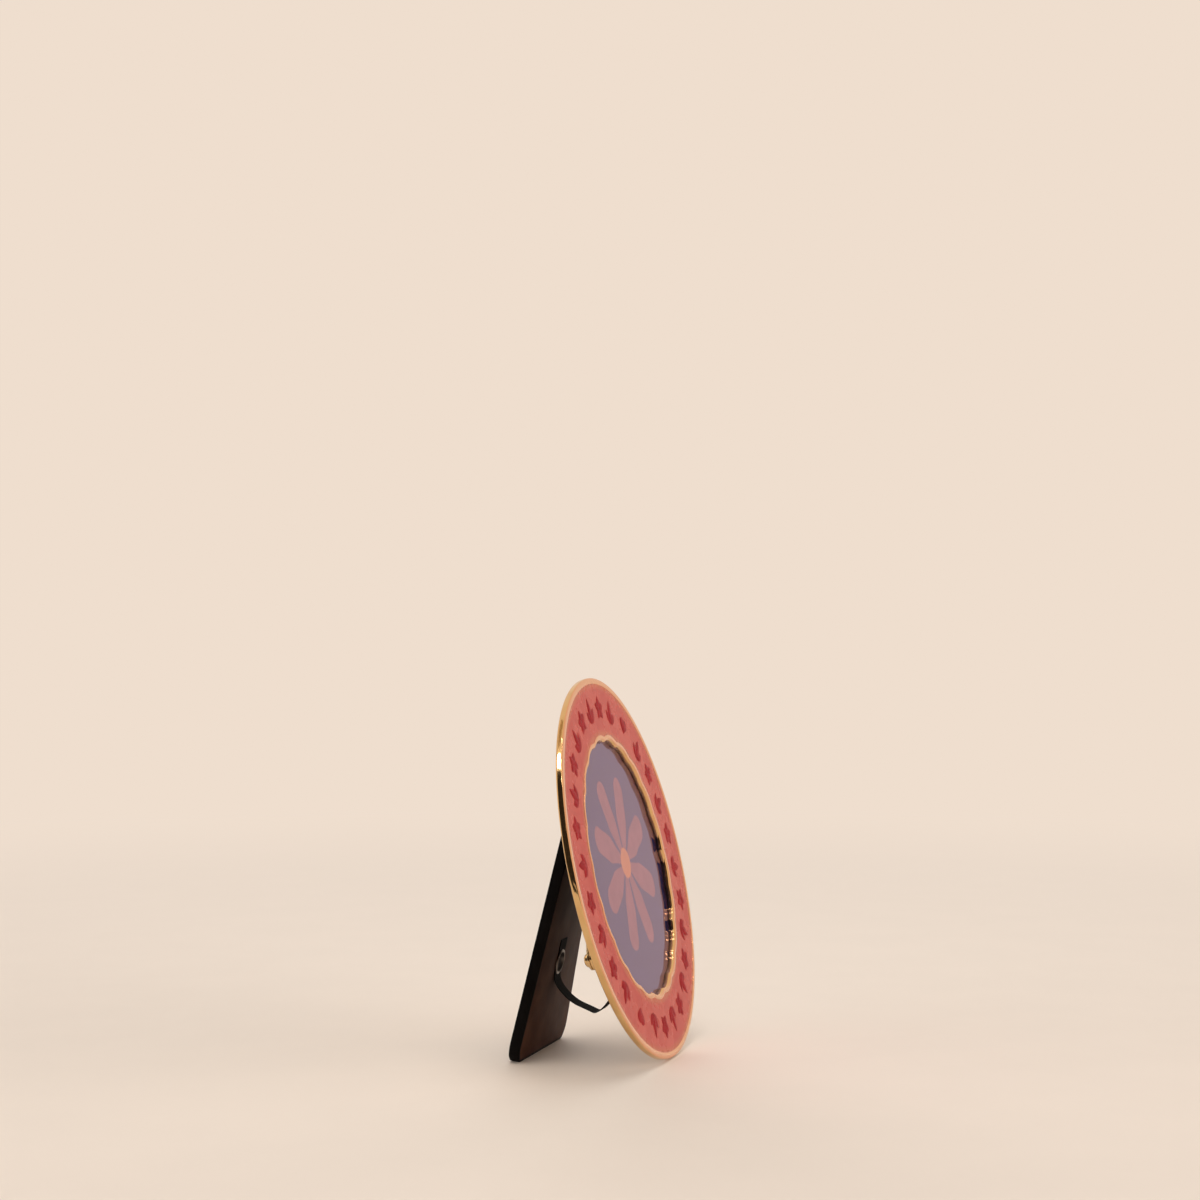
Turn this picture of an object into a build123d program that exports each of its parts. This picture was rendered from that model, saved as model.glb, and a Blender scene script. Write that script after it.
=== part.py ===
from build123d import *
import os
from math import cos, radians, sin, sqrt, tan

# A round table photo frame. A cast rim with a coloured enamel band and gilt lips holds glass, a
# printed card and a backing board, which three turn buttons keep in. A tapered strut swings on a
# rolled hinge behind it, and a stay ribbon runs from the board to the strut.
# Millimetres, +Z up, and the front faces -Y. The origin is on the table, under the middle of the
# frame's box.

os.makedirs("parts", exist_ok=True)

# How it stands
lean = 13.3  # the disc leans back by this angle, in degrees
opening_angle = 25.4  # between the back of the disc and the strut, in degrees

# Rim casting
rim_radius = 60.0
rim_plate = 2.3
front_round = 0.5
back_round = 0.9
outer_lip = 2.0
band_width = 16.5  # of the enamel, between the lips
inner_lip = 1.8
scallop_count = 21
scallop_wave = 0.45
scallop_soft = 2.6
scallop_start = 105.0
channel_depth = 0.8
ledge_depth = 1.7
rebate_margin = 3.3  # from the middle of the waves out to the rebate's wall
back_wall = 2.5

# Enamel and its inlays
enamel_drop = 0.15  # the enamel lies this far under the lips
inlay_rise = 0.12  # and the inlays stand this far out of it
heart_angle = 59.0
side_leaf_turn = 40.0
petal_count = 5
inlay_pitch = 12.5
leaf_inlays_per_side = 7
blossom_inlays_per_side = 6
first_inlay_angle = 44.0
# Shares of the band's width
inlay_ring_share = 0.525
heart_side_share = 0.213
leaf_length_share = 0.48
leaf_width_share = 0.17
side_leaf_length_share = 0.333
petal_length_share = 0.235
petal_width_share = 0.16

# What lies in the rebate, front to back
glass_thickness = 1.0
card_thickness = 0.4
board_thickness = 2.0
board_cover_thickness = 0.3
glass_clearance = 0.3
card_clearance = 0.4
board_clearance = 0.35

# Turn buttons and their screws
button_count = 3
first_button_angle = 87.0
button_ring_share = 0.382  # of the way from the rebate's wall to the rim's edge
button_rest_turns = (6.0, -12.0, 35.0)  # from pointing at the centre, in degrees
boss_radius = 3.2
button_thickness = 0.8
button_reach = 8.0  # pivot to the centre of the tip
button_root_radius = 3.0
button_tip_radius = 2.0
button_edge = 0.2
button_gap = 0.1
screw_radius = 1.2
screw_depth = 3.4
screw_head_radius = 2.0
screw_head_height = 1.4
screw_head_edge = 0.5
screw_slot_width = 0.6
screw_slot_depth = 0.5
screw_slot_turn = 30.0  # from the line through the disc's centre, in degrees
thread_clearance = 0.05
pivot_clearance = 0.1

# Hinge
hinge_button_gap = 1.5  # from the end of its leaf to the tip of the top button
hinge_width = 22.0
knuckle_bore = 1.7
pin_radius = 1.6
pin_overhang = 0.5
pin_end_edge = 0.4
board_leaf_thickness = 0.9
board_leaf_length = 13.0
strut_leaf_thickness = 0.6
strut_leaf_length = 17.0
strut_leaf_width = 17.0
leaf_corner = 2.0
middle_knuckle_width = 8.0
tongue_width = 6.0
stop_gap = 0.05
knuckle_gap = 0.2
roll_gap = 0.5
rivet_radius = 1.0
rivet_head_radius = 1.8
rivet_head_height = 0.6
rivet_head_edge = 0.4
rivet_foot_height = 0.35
rivet_clearance = 0.05
board_rivet_spacing = 14.0
board_rivet_height = 9.0
strut_rivet_spacing = 9.0
strut_rivet_drop = 11.0

# Strut
strut_thickness = 3.5
strut_foot_width = 51.0
strut_top_width = 28.0
strut_top_drop = 3.3  # hinge pin to the strut's top end
strut_foot_round = 6.0
strut_top_round = 2.0
strut_cover_thickness = 0.4
strut_lining_thickness = 0.4
strut_lining_margin = 0.8  # the cover's edge that shows round the lining
leaf_bed_clearance = 0.05

# Eyelets
eyelet_bore = 2.5
eyelet_wall = 0.4
eyelet_flange_radius = 4.0
eyelet_roll_radius = 3.7
eyelet_flange = 0.35
eyelet_clearance = 0.05
eyelet_pocket_margin = 0.3
strut_eyelet_height = 28.8  # above the foot, along the inner face
board_eyelet_inset = 17.0  # up from the lowest place in the rebate

# Stay ribbon
ribbon_width = 6.4
ribbon_thickness = 0.25
ribbon_tail = 7.4  # past each eyelet's centre
strut_ribbon_leave = 6.2  # under the strut's eyelet, where the ribbon comes away from it
board_ribbon_leave = 6.2
# The slack ribbon's turns: how far each is on the way from the strut to the board, and how far
# it hangs under the straight line between them
ribbon_turn_shares = (0.202, 0.422, 0.542, 0.762)
ribbon_turn_drops = (6.7, 9.9, 11.75, 5.05)

overrun = 5.0  # how far a cut runs past what it cuts

# What follows from the sizes above. A depth is measured back from the rim's face.
band_outer = rim_radius - outer_lip
band_inner = band_outer - band_width
opening_radius = band_inner - inner_lip
rebate_radius = opening_radius + rebate_margin
inlay_ring_radius = band_inner + inlay_ring_share * band_width
leaf_length = leaf_length_share * band_width
leaf_width = leaf_width_share * band_width
side_leaf_length = side_leaf_length_share * band_width
petal_length = petal_length_share * band_width
petal_width = petal_width_share * band_width
heart_side = heart_side_share * band_width
button_ring_radius = rebate_radius + button_ring_share * (rim_radius - rebate_radius)
button_tip_end = button_ring_radius - button_reach - button_tip_radius
hinge_height = button_tip_end - hinge_button_gap - board_leaf_length
board_eyelet_drop = rebate_radius - board_eyelet_inset
glass_back = ledge_depth + glass_thickness
card_back = glass_back + card_thickness
board_back = card_back + board_thickness
cover_back = board_back + board_cover_thickness
board_knuckle_radius = knuckle_bore + board_leaf_thickness
strut_knuckle_radius = knuckle_bore + strut_leaf_thickness
pin_depth = cover_back + board_knuckle_radius
strut_lean = opening_angle - lean
strut_inner = strut_knuckle_radius - strut_thickness
lean_cos, lean_sin = cos(radians(lean)), sin(radians(lean))
strut_cos, strut_sin = cos(radians(strut_lean)), sin(radians(strut_lean))
open_cos, open_sin = cos(radians(opening_angle)), sin(radians(opening_angle))

# The rim's rounded back edge touches the table, and the box is centred on Y.
face_height = (rim_radius - back_round) * lean_cos + (rim_plate - back_round) * lean_sin + back_round
pin_height = face_height + hinge_height * lean_cos - pin_depth * lean_sin
pin_from_face = hinge_height * lean_sin + pin_depth * lean_cos
outer_foot_length = (pin_height + strut_knuckle_radius * strut_sin) / strut_cos
inner_foot_length = (pin_height + strut_inner * strut_sin) / strut_cos
foot_from_face = pin_from_face + strut_knuckle_radius * strut_cos + outer_foot_length * strut_sin
front_from_face = front_round * (lean_cos - 1) - (rim_radius - front_round) * lean_sin
face_y = -(foot_from_face + front_from_face) / 2
pin_y = face_y + pin_from_face

disc_plane = Plane(origin=(0, face_y, face_height), x_dir=(1, 0, 0), z_dir=(0, -lean_cos, lean_sin))
disc_axis = Axis((0, face_y, face_height), (0, -lean_cos, lean_sin))
# The strut's own plane has its origin on the hinge pin, Y down the strut and Z out of its back.
strut_plane = Plane(origin=(0, pin_y, pin_height), x_dir=(1, 0, 0), z_dir=(0, strut_cos, strut_sin))
# Across the hinge, X is towards the back and Y is up, for the disc and for the strut.
disc_side = Plane(origin=(0, pin_y, pin_height), x_dir=(0, lean_cos, -lean_sin), z_dir=(1, 0, 0))
strut_side = Plane(origin=(0, pin_y, pin_height), x_dir=(0, strut_cos, strut_sin), z_dir=(1, 0, 0))


def behind(depth):
    """The plane parallel to the rim's face that lies this far behind it."""
    return disc_plane.offset(-depth)


def spot(radius, degrees):
    """A point on a circle round the disc's centre, as the disc's plane sees it."""
    return (radius * cos(radians(degrees)), radius * sin(radians(degrees)))


def on_disc(height, depth):
    """World Y and Z of a place on the disc's middle line."""
    return (
        face_y + height * lean_sin + depth * lean_cos,
        face_height + height * lean_cos - depth * lean_sin,
    )


def on_strut(drop, out):
    """World Y and Z of a place on the strut's middle line, from the hinge pin."""
    return (
        pin_y + drop * strut_sin + out * strut_cos,
        pin_height - drop * strut_cos + out * strut_sin,
    )


def scalloped(middle_radius, mode=Mode.ADD):
    """A face with a wavy edge, one shallow scallop after another."""
    step = 360 / scallop_count
    with BuildSketch(mode=Mode.PRIVATE) as waves:
        with BuildLine():
            for k in range(scallop_count):
                start = scallop_start + k * step
                ThreePointArc(
                    spot(middle_radius - scallop_wave, start),
                    spot(middle_radius + scallop_wave, start + step / 2),
                    spot(middle_radius - scallop_wave, start + step),
                )
        make_face()
        fillet(waves.vertices(), scallop_soft)
    add(waves.sketch_local, mode=mode)


def leaf(length, width, turn, root):
    """A pointed oval that grows from its root, turned from the outward direction."""
    with BuildSketch(mode=Mode.PRIVATE) as blade:
        with BuildLine():
            ThreePointArc((0, 0), (length / 2, width / 2), (length, 0))
            ThreePointArc((length, 0), (length / 2, -width / 2), (0, 0))
        make_face()
    add(blade.sketch_local.rotate(Axis.Z, turn).translate(root))


def inlay_places(count, first, spread):
    """Places for a row of inlays on each half of the band."""
    for half in range(2):
        for k in range(count):
            yield first + half * 180 - k * spread


def placed(figure, degrees):
    """Puts a figure on the inlays' circle with its outward direction away from the centre."""
    add(figure.sketch_local.translate((inlay_ring_radius, 0)).rotate(Axis.Z, degrees))


def leaf_sprigs():
    root = (-leaf_length / 2, 0)
    with BuildSketch(mode=Mode.PRIVATE) as sprig:
        leaf(leaf_length, leaf_width, 0, root)
        leaf(side_leaf_length, leaf_width, side_leaf_turn, root)
        leaf(side_leaf_length, leaf_width, -side_leaf_turn, root)
    for degrees in inlay_places(leaf_inlays_per_side, first_inlay_angle, 2 * inlay_pitch):
        placed(sprig, degrees)


def blossoms():
    with BuildSketch(mode=Mode.PRIVATE) as blossom:
        for k in range(petal_count):
            leaf(petal_length, petal_width, k * 360 / petal_count, (0, 0))
    first = first_inlay_angle - inlay_pitch
    for degrees in inlay_places(blossom_inlays_per_side, first, 2 * inlay_pitch):
        placed(blossom, degrees)


def hearts():
    lobe = heart_side / 2
    shift = lobe / sqrt(2)
    with BuildSketch(mode=Mode.PRIVATE) as heart:
        Rectangle(heart_side, heart_side, rotation=45)
        with Locations((shift, shift), (shift, -shift)):
            Circle(lobe)
    for degrees in inlay_places(1, heart_angle, 0):
        placed(heart, degrees)


def button_angles():
    return [first_button_angle - k * 360 / button_count for k in range(button_count)]


# Rim: one casting with two lips, the enamel channel, the wavy opening, a rebate and three bosses
with BuildPart() as rim:
    with BuildSketch(disc_plane):
        Circle(rim_radius)
    extrude(amount=-rim_plate)
    fillet(rim.edges().sort_by(disc_axis)[-1], front_round)
    fillet(rim.edges().sort_by(disc_axis)[0], back_round)
    with BuildSketch(behind(cover_back)):
        Circle(rebate_radius + back_wall)
        for degrees in button_angles():
            with Locations(spot(button_ring_radius, degrees)):
                Circle(boss_radius)
            with Locations(spot(rebate_radius + back_wall, degrees)):
                Rectangle(
                    2 * (button_ring_radius - rebate_radius - back_wall),
                    boss_radius,
                    rotation=degrees,
                )
    extrude(amount=cover_back - rim_plate + back_round)
    with BuildSketch(behind(ledge_depth)):
        Circle(rebate_radius)
    extrude(amount=-(cover_back + overrun), mode=Mode.SUBTRACT)
    with BuildSketch(behind(channel_depth)):
        Circle(band_outer)
        scalloped(band_inner, mode=Mode.SUBTRACT)
    extrude(amount=overrun, mode=Mode.SUBTRACT)
    with BuildSketch(disc_plane.offset(overrun)):
        scalloped(opening_radius)
    extrude(amount=-(ledge_depth + 2 * overrun), mode=Mode.SUBTRACT)
    with BuildSketch(behind(cover_back)):
        for degrees in button_angles():
            with Locations(spot(button_ring_radius, degrees)):
                Circle(screw_radius + thread_clearance)
    extrude(amount=screw_depth, mode=Mode.SUBTRACT)
rim.part.label = "rim"
export_step(rim.part, "parts/rim.step")

# Enamel: fills the channel almost to the lips
with BuildPart() as enamel:
    with BuildSketch(behind(channel_depth)):
        Circle(band_outer)
        scalloped(band_inner, mode=Mode.SUBTRACT)
    extrude(amount=channel_depth - enamel_drop)
enamel.part.label = "enamel"
export_step(enamel.part, "parts/enamel.step")

# Inlays: raised figures in darker enamel
with BuildPart() as leaf_inlays:
    with BuildSketch(behind(enamel_drop)):
        leaf_sprigs()
    extrude(amount=inlay_rise)
leaf_inlays.part.label = "leaf_inlays"
export_step(leaf_inlays.part, "parts/leaf_inlays.step")

with BuildPart() as blossom_inlays:
    with BuildSketch(behind(enamel_drop)):
        blossoms()
    extrude(amount=inlay_rise)
blossom_inlays.part.label = "blossom_inlays"
export_step(blossom_inlays.part, "parts/blossom_inlays.step")

with BuildPart() as heart_inlays:
    with BuildSketch(behind(enamel_drop)):
        hearts()
    extrude(amount=inlay_rise)
heart_inlays.part.label = "heart_inlays"
export_step(heart_inlays.part, "parts/heart_inlays.step")

# Glass, printed card, backing board and its paper, one behind the other in the rebate
with BuildPart() as glass_pane:
    with BuildSketch(behind(glass_back)):
        Circle(rebate_radius - glass_clearance)
    extrude(amount=glass_thickness)
glass_pane.part.label = "glass_pane"
export_step(glass_pane.part, "parts/glass_pane.step")

with BuildPart() as printed_card:
    with BuildSketch(behind(card_back)):
        Circle(rebate_radius - card_clearance)
    extrude(amount=card_thickness)
printed_card.part.label = "printed_card"
export_step(printed_card.part, "parts/printed_card.step")

board_rivet_spots = [
    (side * board_rivet_spacing / 2, hinge_height + board_rivet_height) for side in (-1, 1)
]
board_eyelet_spot = (0, -board_eyelet_drop)
eyelet_hole = eyelet_bore + eyelet_wall + eyelet_clearance
eyelet_pocket = eyelet_roll_radius + eyelet_pocket_margin
eyelet_pocket_depth = eyelet_flange + eyelet_clearance
rivet_hole = rivet_radius + rivet_clearance
rivet_pocket = rivet_head_radius + rivet_clearance
rivet_pocket_depth = rivet_foot_height + rivet_clearance

with BuildPart() as backing_board:
    with BuildSketch(behind(board_back)):
        Circle(rebate_radius - board_clearance)
        with Locations(*board_rivet_spots):
            Circle(rivet_hole, mode=Mode.SUBTRACT)
        with Locations(board_eyelet_spot):
            Circle(eyelet_hole, mode=Mode.SUBTRACT)
    extrude(amount=board_thickness)
    with BuildSketch(behind(card_back)):
        with Locations(*board_rivet_spots):
            Circle(rivet_pocket)
    extrude(amount=-rivet_pocket_depth, mode=Mode.SUBTRACT)
    with BuildSketch(behind(card_back)):
        with Locations(board_eyelet_spot):
            Circle(eyelet_pocket)
    extrude(amount=-eyelet_pocket_depth, mode=Mode.SUBTRACT)
backing_board.part.label = "backing_board"
export_step(backing_board.part, "parts/backing_board.step")

with BuildPart() as backing_paper:
    with BuildSketch(behind(cover_back)):
        Circle(rebate_radius - board_clearance)
        with Locations(*board_rivet_spots):
            Circle(rivet_hole, mode=Mode.SUBTRACT)
        with Locations(board_eyelet_spot):
            Circle(eyelet_hole, mode=Mode.SUBTRACT)
    extrude(amount=board_cover_thickness)
backing_paper.part.label = "backing_paper"
export_step(backing_paper.part, "parts/backing_paper.step")

# Screws: a pan head with a slot over each turn button
button_top = cover_back + button_gap + button_thickness
with BuildPart() as button_screws:
    with BuildSketch(behind(button_top + button_gap)):
        for degrees in button_angles():
            with Locations(spot(button_ring_radius, degrees)):
                Circle(screw_head_radius)
    extrude(amount=-screw_head_height)
    heads = button_screws.edges().filter_by(GeomType.CIRCLE).group_by(disc_axis)[0]
    chamfer(heads, screw_head_edge)
    with BuildSketch(behind(button_top + button_gap + screw_head_height)):
        for degrees in button_angles():
            with Locations(spot(button_ring_radius, degrees)):
                Rectangle(
                    2 * screw_head_radius + overrun,
                    screw_slot_width,
                    rotation=degrees + screw_slot_turn,
                )
    extrude(amount=screw_slot_depth, mode=Mode.SUBTRACT)
    with BuildSketch(behind(button_top + button_gap)):
        for degrees in button_angles():
            with Locations(spot(button_ring_radius, degrees)):
                Circle(screw_radius)
    extrude(amount=button_top + button_gap - cover_back + screw_depth - thread_clearance)
button_screws.part.label = "button_screws"
export_step(button_screws.part, "parts/button_screws.step")

# Turn buttons: a flat teardrop blade that laps over the backing board
for number, degrees in enumerate(button_angles()):
    pivot = spot(button_ring_radius, degrees)
    towards = degrees + 180 + button_rest_turns[number]
    tip = spot(button_reach, towards)
    with BuildPart() as turn_button:
        with BuildSketch(behind(cover_back + button_gap)):
            with Locations(pivot):
                Circle(button_root_radius)
            with Locations((pivot[0] + tip[0], pivot[1] + tip[1])):
                Circle(button_tip_radius)
            make_hull()
            with Locations(pivot):
                Circle(screw_radius + pivot_clearance, mode=Mode.SUBTRACT)
        extrude(amount=-button_thickness)
        back_face = turn_button.faces().sort_by(disc_axis)[0]
        chamfer(back_face.outer_wire().edges(), button_edge)
    turn_button.part.label = f"turn_button_{number + 1}"
    export_step(turn_button.part, f"parts/turn_button_{number + 1}.step")

# Hinge: a leaf riveted to the board, a leaf let into the strut, and the pin through both
half_middle = middle_knuckle_width / 2
half_notch = half_middle + knuckle_gap


def knuckle(radius):
    """The ring of a knuckle that is rolled round the pin."""
    Circle(radius)
    Circle(knuckle_bore, mode=Mode.SUBTRACT)


with BuildPart() as hinge_board_leaf:
    with BuildSketch(behind(cover_back)):
        with Locations((0, hinge_height + board_leaf_length / 2)):
            Rectangle(hinge_width, board_leaf_length)
    extrude(amount=-board_leaf_thickness)
    far_corners = hinge_board_leaf.edges().filter_by(disc_axis).group_by(Axis.Z)[-1]
    fillet(far_corners, leaf_corner)
    with BuildSketch(disc_side.offset(-hinge_width / 2)):
        knuckle(board_knuckle_radius)
        with Locations((-board_knuckle_radius + board_leaf_thickness + roll_gap / 2, knuckle_bore)):
            Rectangle(roll_gap, 2 * board_leaf_thickness, mode=Mode.SUBTRACT)
    extrude(amount=hinge_width)
    with BuildSketch(disc_side.offset(-half_notch)):
        Rectangle(2 * pin_depth, 2 * (strut_knuckle_radius + knuckle_gap))
    extrude(amount=2 * half_notch, mode=Mode.SUBTRACT)
    with BuildSketch(behind(cover_back)):
        with Locations(*board_rivet_spots):
            Circle(rivet_hole)
    extrude(amount=-board_leaf_thickness, mode=Mode.SUBTRACT)
hinge_board_leaf.part.label = "hinge_board_leaf"
export_step(hinge_board_leaf.part, "parts/hinge_board_leaf.step")

with BuildPart() as hinge_pin:
    with BuildSketch(disc_side.offset(-hinge_width / 2 - pin_overhang)):
        Circle(pin_radius)
    extrude(amount=hinge_width + 2 * pin_overhang)
    chamfer(hinge_pin.edges().filter_by(GeomType.CIRCLE), pin_end_edge)
hinge_pin.part.label = "hinge_pin"
export_step(hinge_pin.part, "parts/hinge_pin.step")

with BuildPart() as hinge_board_rivets:
    with BuildSketch(behind(cover_back + board_leaf_thickness)):
        with Locations(*board_rivet_spots):
            Circle(rivet_head_radius)
    extrude(amount=-rivet_head_height)
    chamfer(
        hinge_board_rivets.edges().filter_by(GeomType.CIRCLE).group_by(disc_axis)[0],
        rivet_head_edge,
    )
    with BuildSketch(behind(cover_back + board_leaf_thickness)):
        with Locations(*board_rivet_spots):
            Circle(rivet_radius)
    extrude(amount=cover_back + board_leaf_thickness - card_back - rivet_clearance)
    with BuildSketch(behind(card_back + rivet_clearance)):
        with Locations(*board_rivet_spots):
            Circle(rivet_head_radius)
    extrude(amount=-rivet_foot_height)
hinge_board_rivets.part.label = "hinge_board_rivets"
export_step(hinge_board_rivets.part, "parts/hinge_board_rivets.step")

# The tongue above the strut's knuckle meets the board leaf when the strut is fully out.
leaf_face = board_knuckle_radius - board_leaf_thickness
tongue_length = (leaf_face + knuckle_bore * open_cos - stop_gap) / open_sin
strut_rivet_spots = [(side * strut_rivet_spacing / 2, strut_rivet_drop) for side in (-1, 1)]

with BuildPart() as hinge_strut_leaf:
    with BuildSketch(strut_plane.offset(knuckle_bore)):
        with Locations((0, (strut_top_drop + strut_leaf_length) / 2)):
            Rectangle(strut_leaf_width, strut_leaf_length - strut_top_drop)
    extrude(amount=strut_leaf_thickness)
    fillet(
        hinge_strut_leaf.edges().filter_by(Axis((0, 0, 0), strut_plane.z_dir)),
        leaf_corner,
    )
    with BuildSketch(strut_plane.offset(knuckle_bore)):
        with Locations((0, (strut_top_drop + leaf_corner) / 2)):
            Rectangle(middle_knuckle_width, strut_top_drop + leaf_corner)
        with Locations((0, -tongue_length / 2)):
            Rectangle(tongue_width, tongue_length)
    extrude(amount=strut_leaf_thickness)
    with BuildSketch(strut_side.offset(-half_middle)):
        knuckle(strut_knuckle_radius)
        with Locations((knuckle_bore - roll_gap / 2, -knuckle_bore)):
            Rectangle(roll_gap, 2 * strut_leaf_thickness, mode=Mode.SUBTRACT)
    extrude(amount=middle_knuckle_width)
    with BuildSketch(strut_plane.offset(knuckle_bore)):
        with Locations(*strut_rivet_spots):
            Circle(rivet_hole)
    extrude(amount=strut_leaf_thickness, mode=Mode.SUBTRACT)
hinge_strut_leaf.part.label = "hinge_strut_leaf"
export_step(hinge_strut_leaf.part, "parts/hinge_strut_leaf.step")

# Strut: a tapered core with a wrapped cover and a lined inner face, its foot cut level
strut_eyelet_drop = inner_foot_length - strut_eyelet_height
strut_eyelet_spot = (0, strut_eyelet_drop)


def strut_outline(inset):
    """The strut's tapered outline, drawn in by this much all round."""
    corners = [
        (-strut_top_width / 2, strut_top_drop),
        (strut_top_width / 2, strut_top_drop),
        (strut_foot_width / 2, outer_foot_length),
        (-strut_foot_width / 2, outer_foot_length),
    ]
    with BuildSketch(mode=Mode.PRIVATE) as outline:
        Polygon(*corners, align=None)
        fillet(outline.vertices().group_by(Axis.Y)[0], strut_top_round)
        fillet(outline.vertices().sort_by(Axis.Y)[-2:], strut_foot_round)
        if inset > 0:
            offset(amount=-inset, mode=Mode.REPLACE)
    add(outline.sketch_local)


def strut_holes():
    """The holes through the strut for the eyelet and the hinge rivets."""
    with Locations(strut_eyelet_spot):
        Circle(eyelet_hole)
    with Locations(*strut_rivet_spots):
        Circle(rivet_hole)


def leaf_bed():
    """The outline of the hinge leaf's bed in the strut's back, open at the top."""
    bed_length = strut_leaf_length + leaf_bed_clearance
    with Locations((0, (bed_length - overrun) / 2)):
        Rectangle(strut_leaf_width + 2 * leaf_bed_clearance, bed_length + overrun)


cover_inner = strut_inner + strut_lining_thickness
cover_outer = strut_knuckle_radius

# The space inside the cover, which also wraps the foot
with BuildPart() as strut_inside:
    with BuildSketch(strut_plane.offset(cover_inner)):
        strut_outline(strut_cover_thickness)
    extrude(amount=cover_outer - strut_cover_thickness - cover_inner)
    split(bisect_by=Plane.XY.offset(strut_cover_thickness))

with BuildPart() as strut_core:
    add(strut_inside.part)
    with BuildSketch(strut_plane.offset(cover_outer)):
        strut_holes()
    extrude(amount=-strut_thickness, mode=Mode.SUBTRACT)
    with BuildSketch(strut_plane.offset(knuckle_bore)):
        leaf_bed()
    extrude(amount=overrun, mode=Mode.SUBTRACT)
strut_core.part.label = "strut_core"
export_step(strut_core.part, "parts/strut_core.step")

with BuildPart() as strut_lining:
    with BuildSketch(strut_plane.offset(strut_inner)):
        strut_outline(strut_lining_margin)
    extrude(amount=strut_lining_thickness)
    split(bisect_by=Plane.XY.offset(strut_lining_margin))
    lining_bed = strut_lining.part
    with BuildSketch(strut_plane.offset(strut_inner)):
        strut_holes()
    extrude(amount=strut_lining_thickness, mode=Mode.SUBTRACT)
strut_lining.part.label = "strut_lining"
export_step(strut_lining.part, "parts/strut_lining.step")

with BuildPart() as strut_cover:
    with BuildSketch(strut_plane.offset(strut_inner)):
        strut_outline(0)
    extrude(amount=strut_thickness)
    add(strut_inside.part, mode=Mode.SUBTRACT)
    add(lining_bed, mode=Mode.SUBTRACT)
    with BuildSketch(strut_plane.offset(cover_outer)):
        with Locations(strut_eyelet_spot):
            Circle(eyelet_hole)
    extrude(amount=-strut_thickness, mode=Mode.SUBTRACT)
    with BuildSketch(strut_plane.offset(knuckle_bore)):
        leaf_bed()
    extrude(amount=overrun, mode=Mode.SUBTRACT)
    split(bisect_by=Plane.XY)
strut_cover.part.label = "strut_cover"
export_step(strut_cover.part, "parts/strut_cover.step")

with BuildPart() as hinge_strut_rivets:
    with BuildSketch(strut_plane.offset(strut_knuckle_radius)):
        with Locations(*strut_rivet_spots):
            Circle(rivet_head_radius)
    extrude(amount=rivet_head_height)
    with BuildSketch(strut_plane.offset(strut_knuckle_radius)):
        with Locations(*strut_rivet_spots):
            Circle(rivet_radius)
    extrude(amount=-strut_thickness)
    with BuildSketch(strut_plane.offset(strut_inner)):
        with Locations(*strut_rivet_spots):
            Circle(rivet_head_radius)
    extrude(amount=-rivet_foot_height)
    strut_axis = Axis((0, pin_y, pin_height), strut_plane.z_dir)
    chamfer(
        hinge_strut_rivets.edges().filter_by(GeomType.CIRCLE).group_by(strut_axis)[-1],
        rivet_head_edge,
    )
hinge_strut_rivets.part.label = "hinge_strut_rivets"
export_step(hinge_strut_rivets.part, "parts/hinge_strut_rivets.step")


# Eyelets: a flange on the ribbon, a barrel through the board or strut, and a rolled far end
def eyelet_profile(flange_face, roll_face):
    """Half of an eyelet's section, radius along X and its axis along Y, from flange to roll."""
    flange_side = 1 if flange_face > roll_face else -1
    barrel = eyelet_bore + eyelet_wall
    flange_top = flange_face + flange_side * eyelet_flange
    flange_edge = flange_face + flange_side * eyelet_flange / 2
    roll_top = roll_face - flange_side * eyelet_flange
    roll_edge = roll_face - flange_side * eyelet_flange / 2
    with BuildSketch(mode=Mode.PRIVATE) as section:
        with BuildLine():
            Polyline(
                (eyelet_bore, flange_top),
                (eyelet_flange_radius - eyelet_flange / 2, flange_top),
                (eyelet_flange_radius, flange_edge),
                (eyelet_flange_radius, flange_face),
                (barrel, flange_face),
                (barrel, roll_face),
                (eyelet_roll_radius, roll_face),
                (eyelet_roll_radius, roll_edge),
                (eyelet_roll_radius - eyelet_flange / 2, roll_top),
                (eyelet_bore, roll_top),
                close=True,
            )
        make_face()
    add(section.sketch_local)


board_eyelet_y, board_eyelet_z = on_disc(-board_eyelet_drop, 0)
board_eyelet_axis = Axis((0, board_eyelet_y, board_eyelet_z), (0, -lean_cos, lean_sin))
board_eyelet_side = Plane(
    origin=(0, board_eyelet_y, board_eyelet_z), x_dir=(1, 0, 0), z_dir=(0, -lean_sin, -lean_cos)
)
with BuildPart() as board_eyelet:
    with BuildSketch(board_eyelet_side):
        eyelet_profile(
            -(cover_back + ribbon_thickness),
            -(card_back + eyelet_pocket_depth),
        )
    revolve(axis=board_eyelet_axis)
board_eyelet.part.label = "board_eyelet"
export_step(board_eyelet.part, "parts/board_eyelet.step")

strut_eyelet_y, strut_eyelet_z = on_strut(strut_eyelet_drop, 0)
strut_eyelet_axis = Axis((0, strut_eyelet_y, strut_eyelet_z), (0, strut_cos, strut_sin))
strut_eyelet_side = Plane(
    origin=(0, strut_eyelet_y, strut_eyelet_z), x_dir=(1, 0, 0), z_dir=(0, -strut_sin, strut_cos)
)
with BuildPart() as strut_eyelet:
    with BuildSketch(strut_eyelet_side):
        eyelet_profile(strut_inner - ribbon_thickness, strut_knuckle_radius)
    revolve(axis=strut_eyelet_axis)
strut_eyelet.part.label = "strut_eyelet"
export_step(strut_eyelet.part, "parts/strut_eyelet.step")

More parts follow.
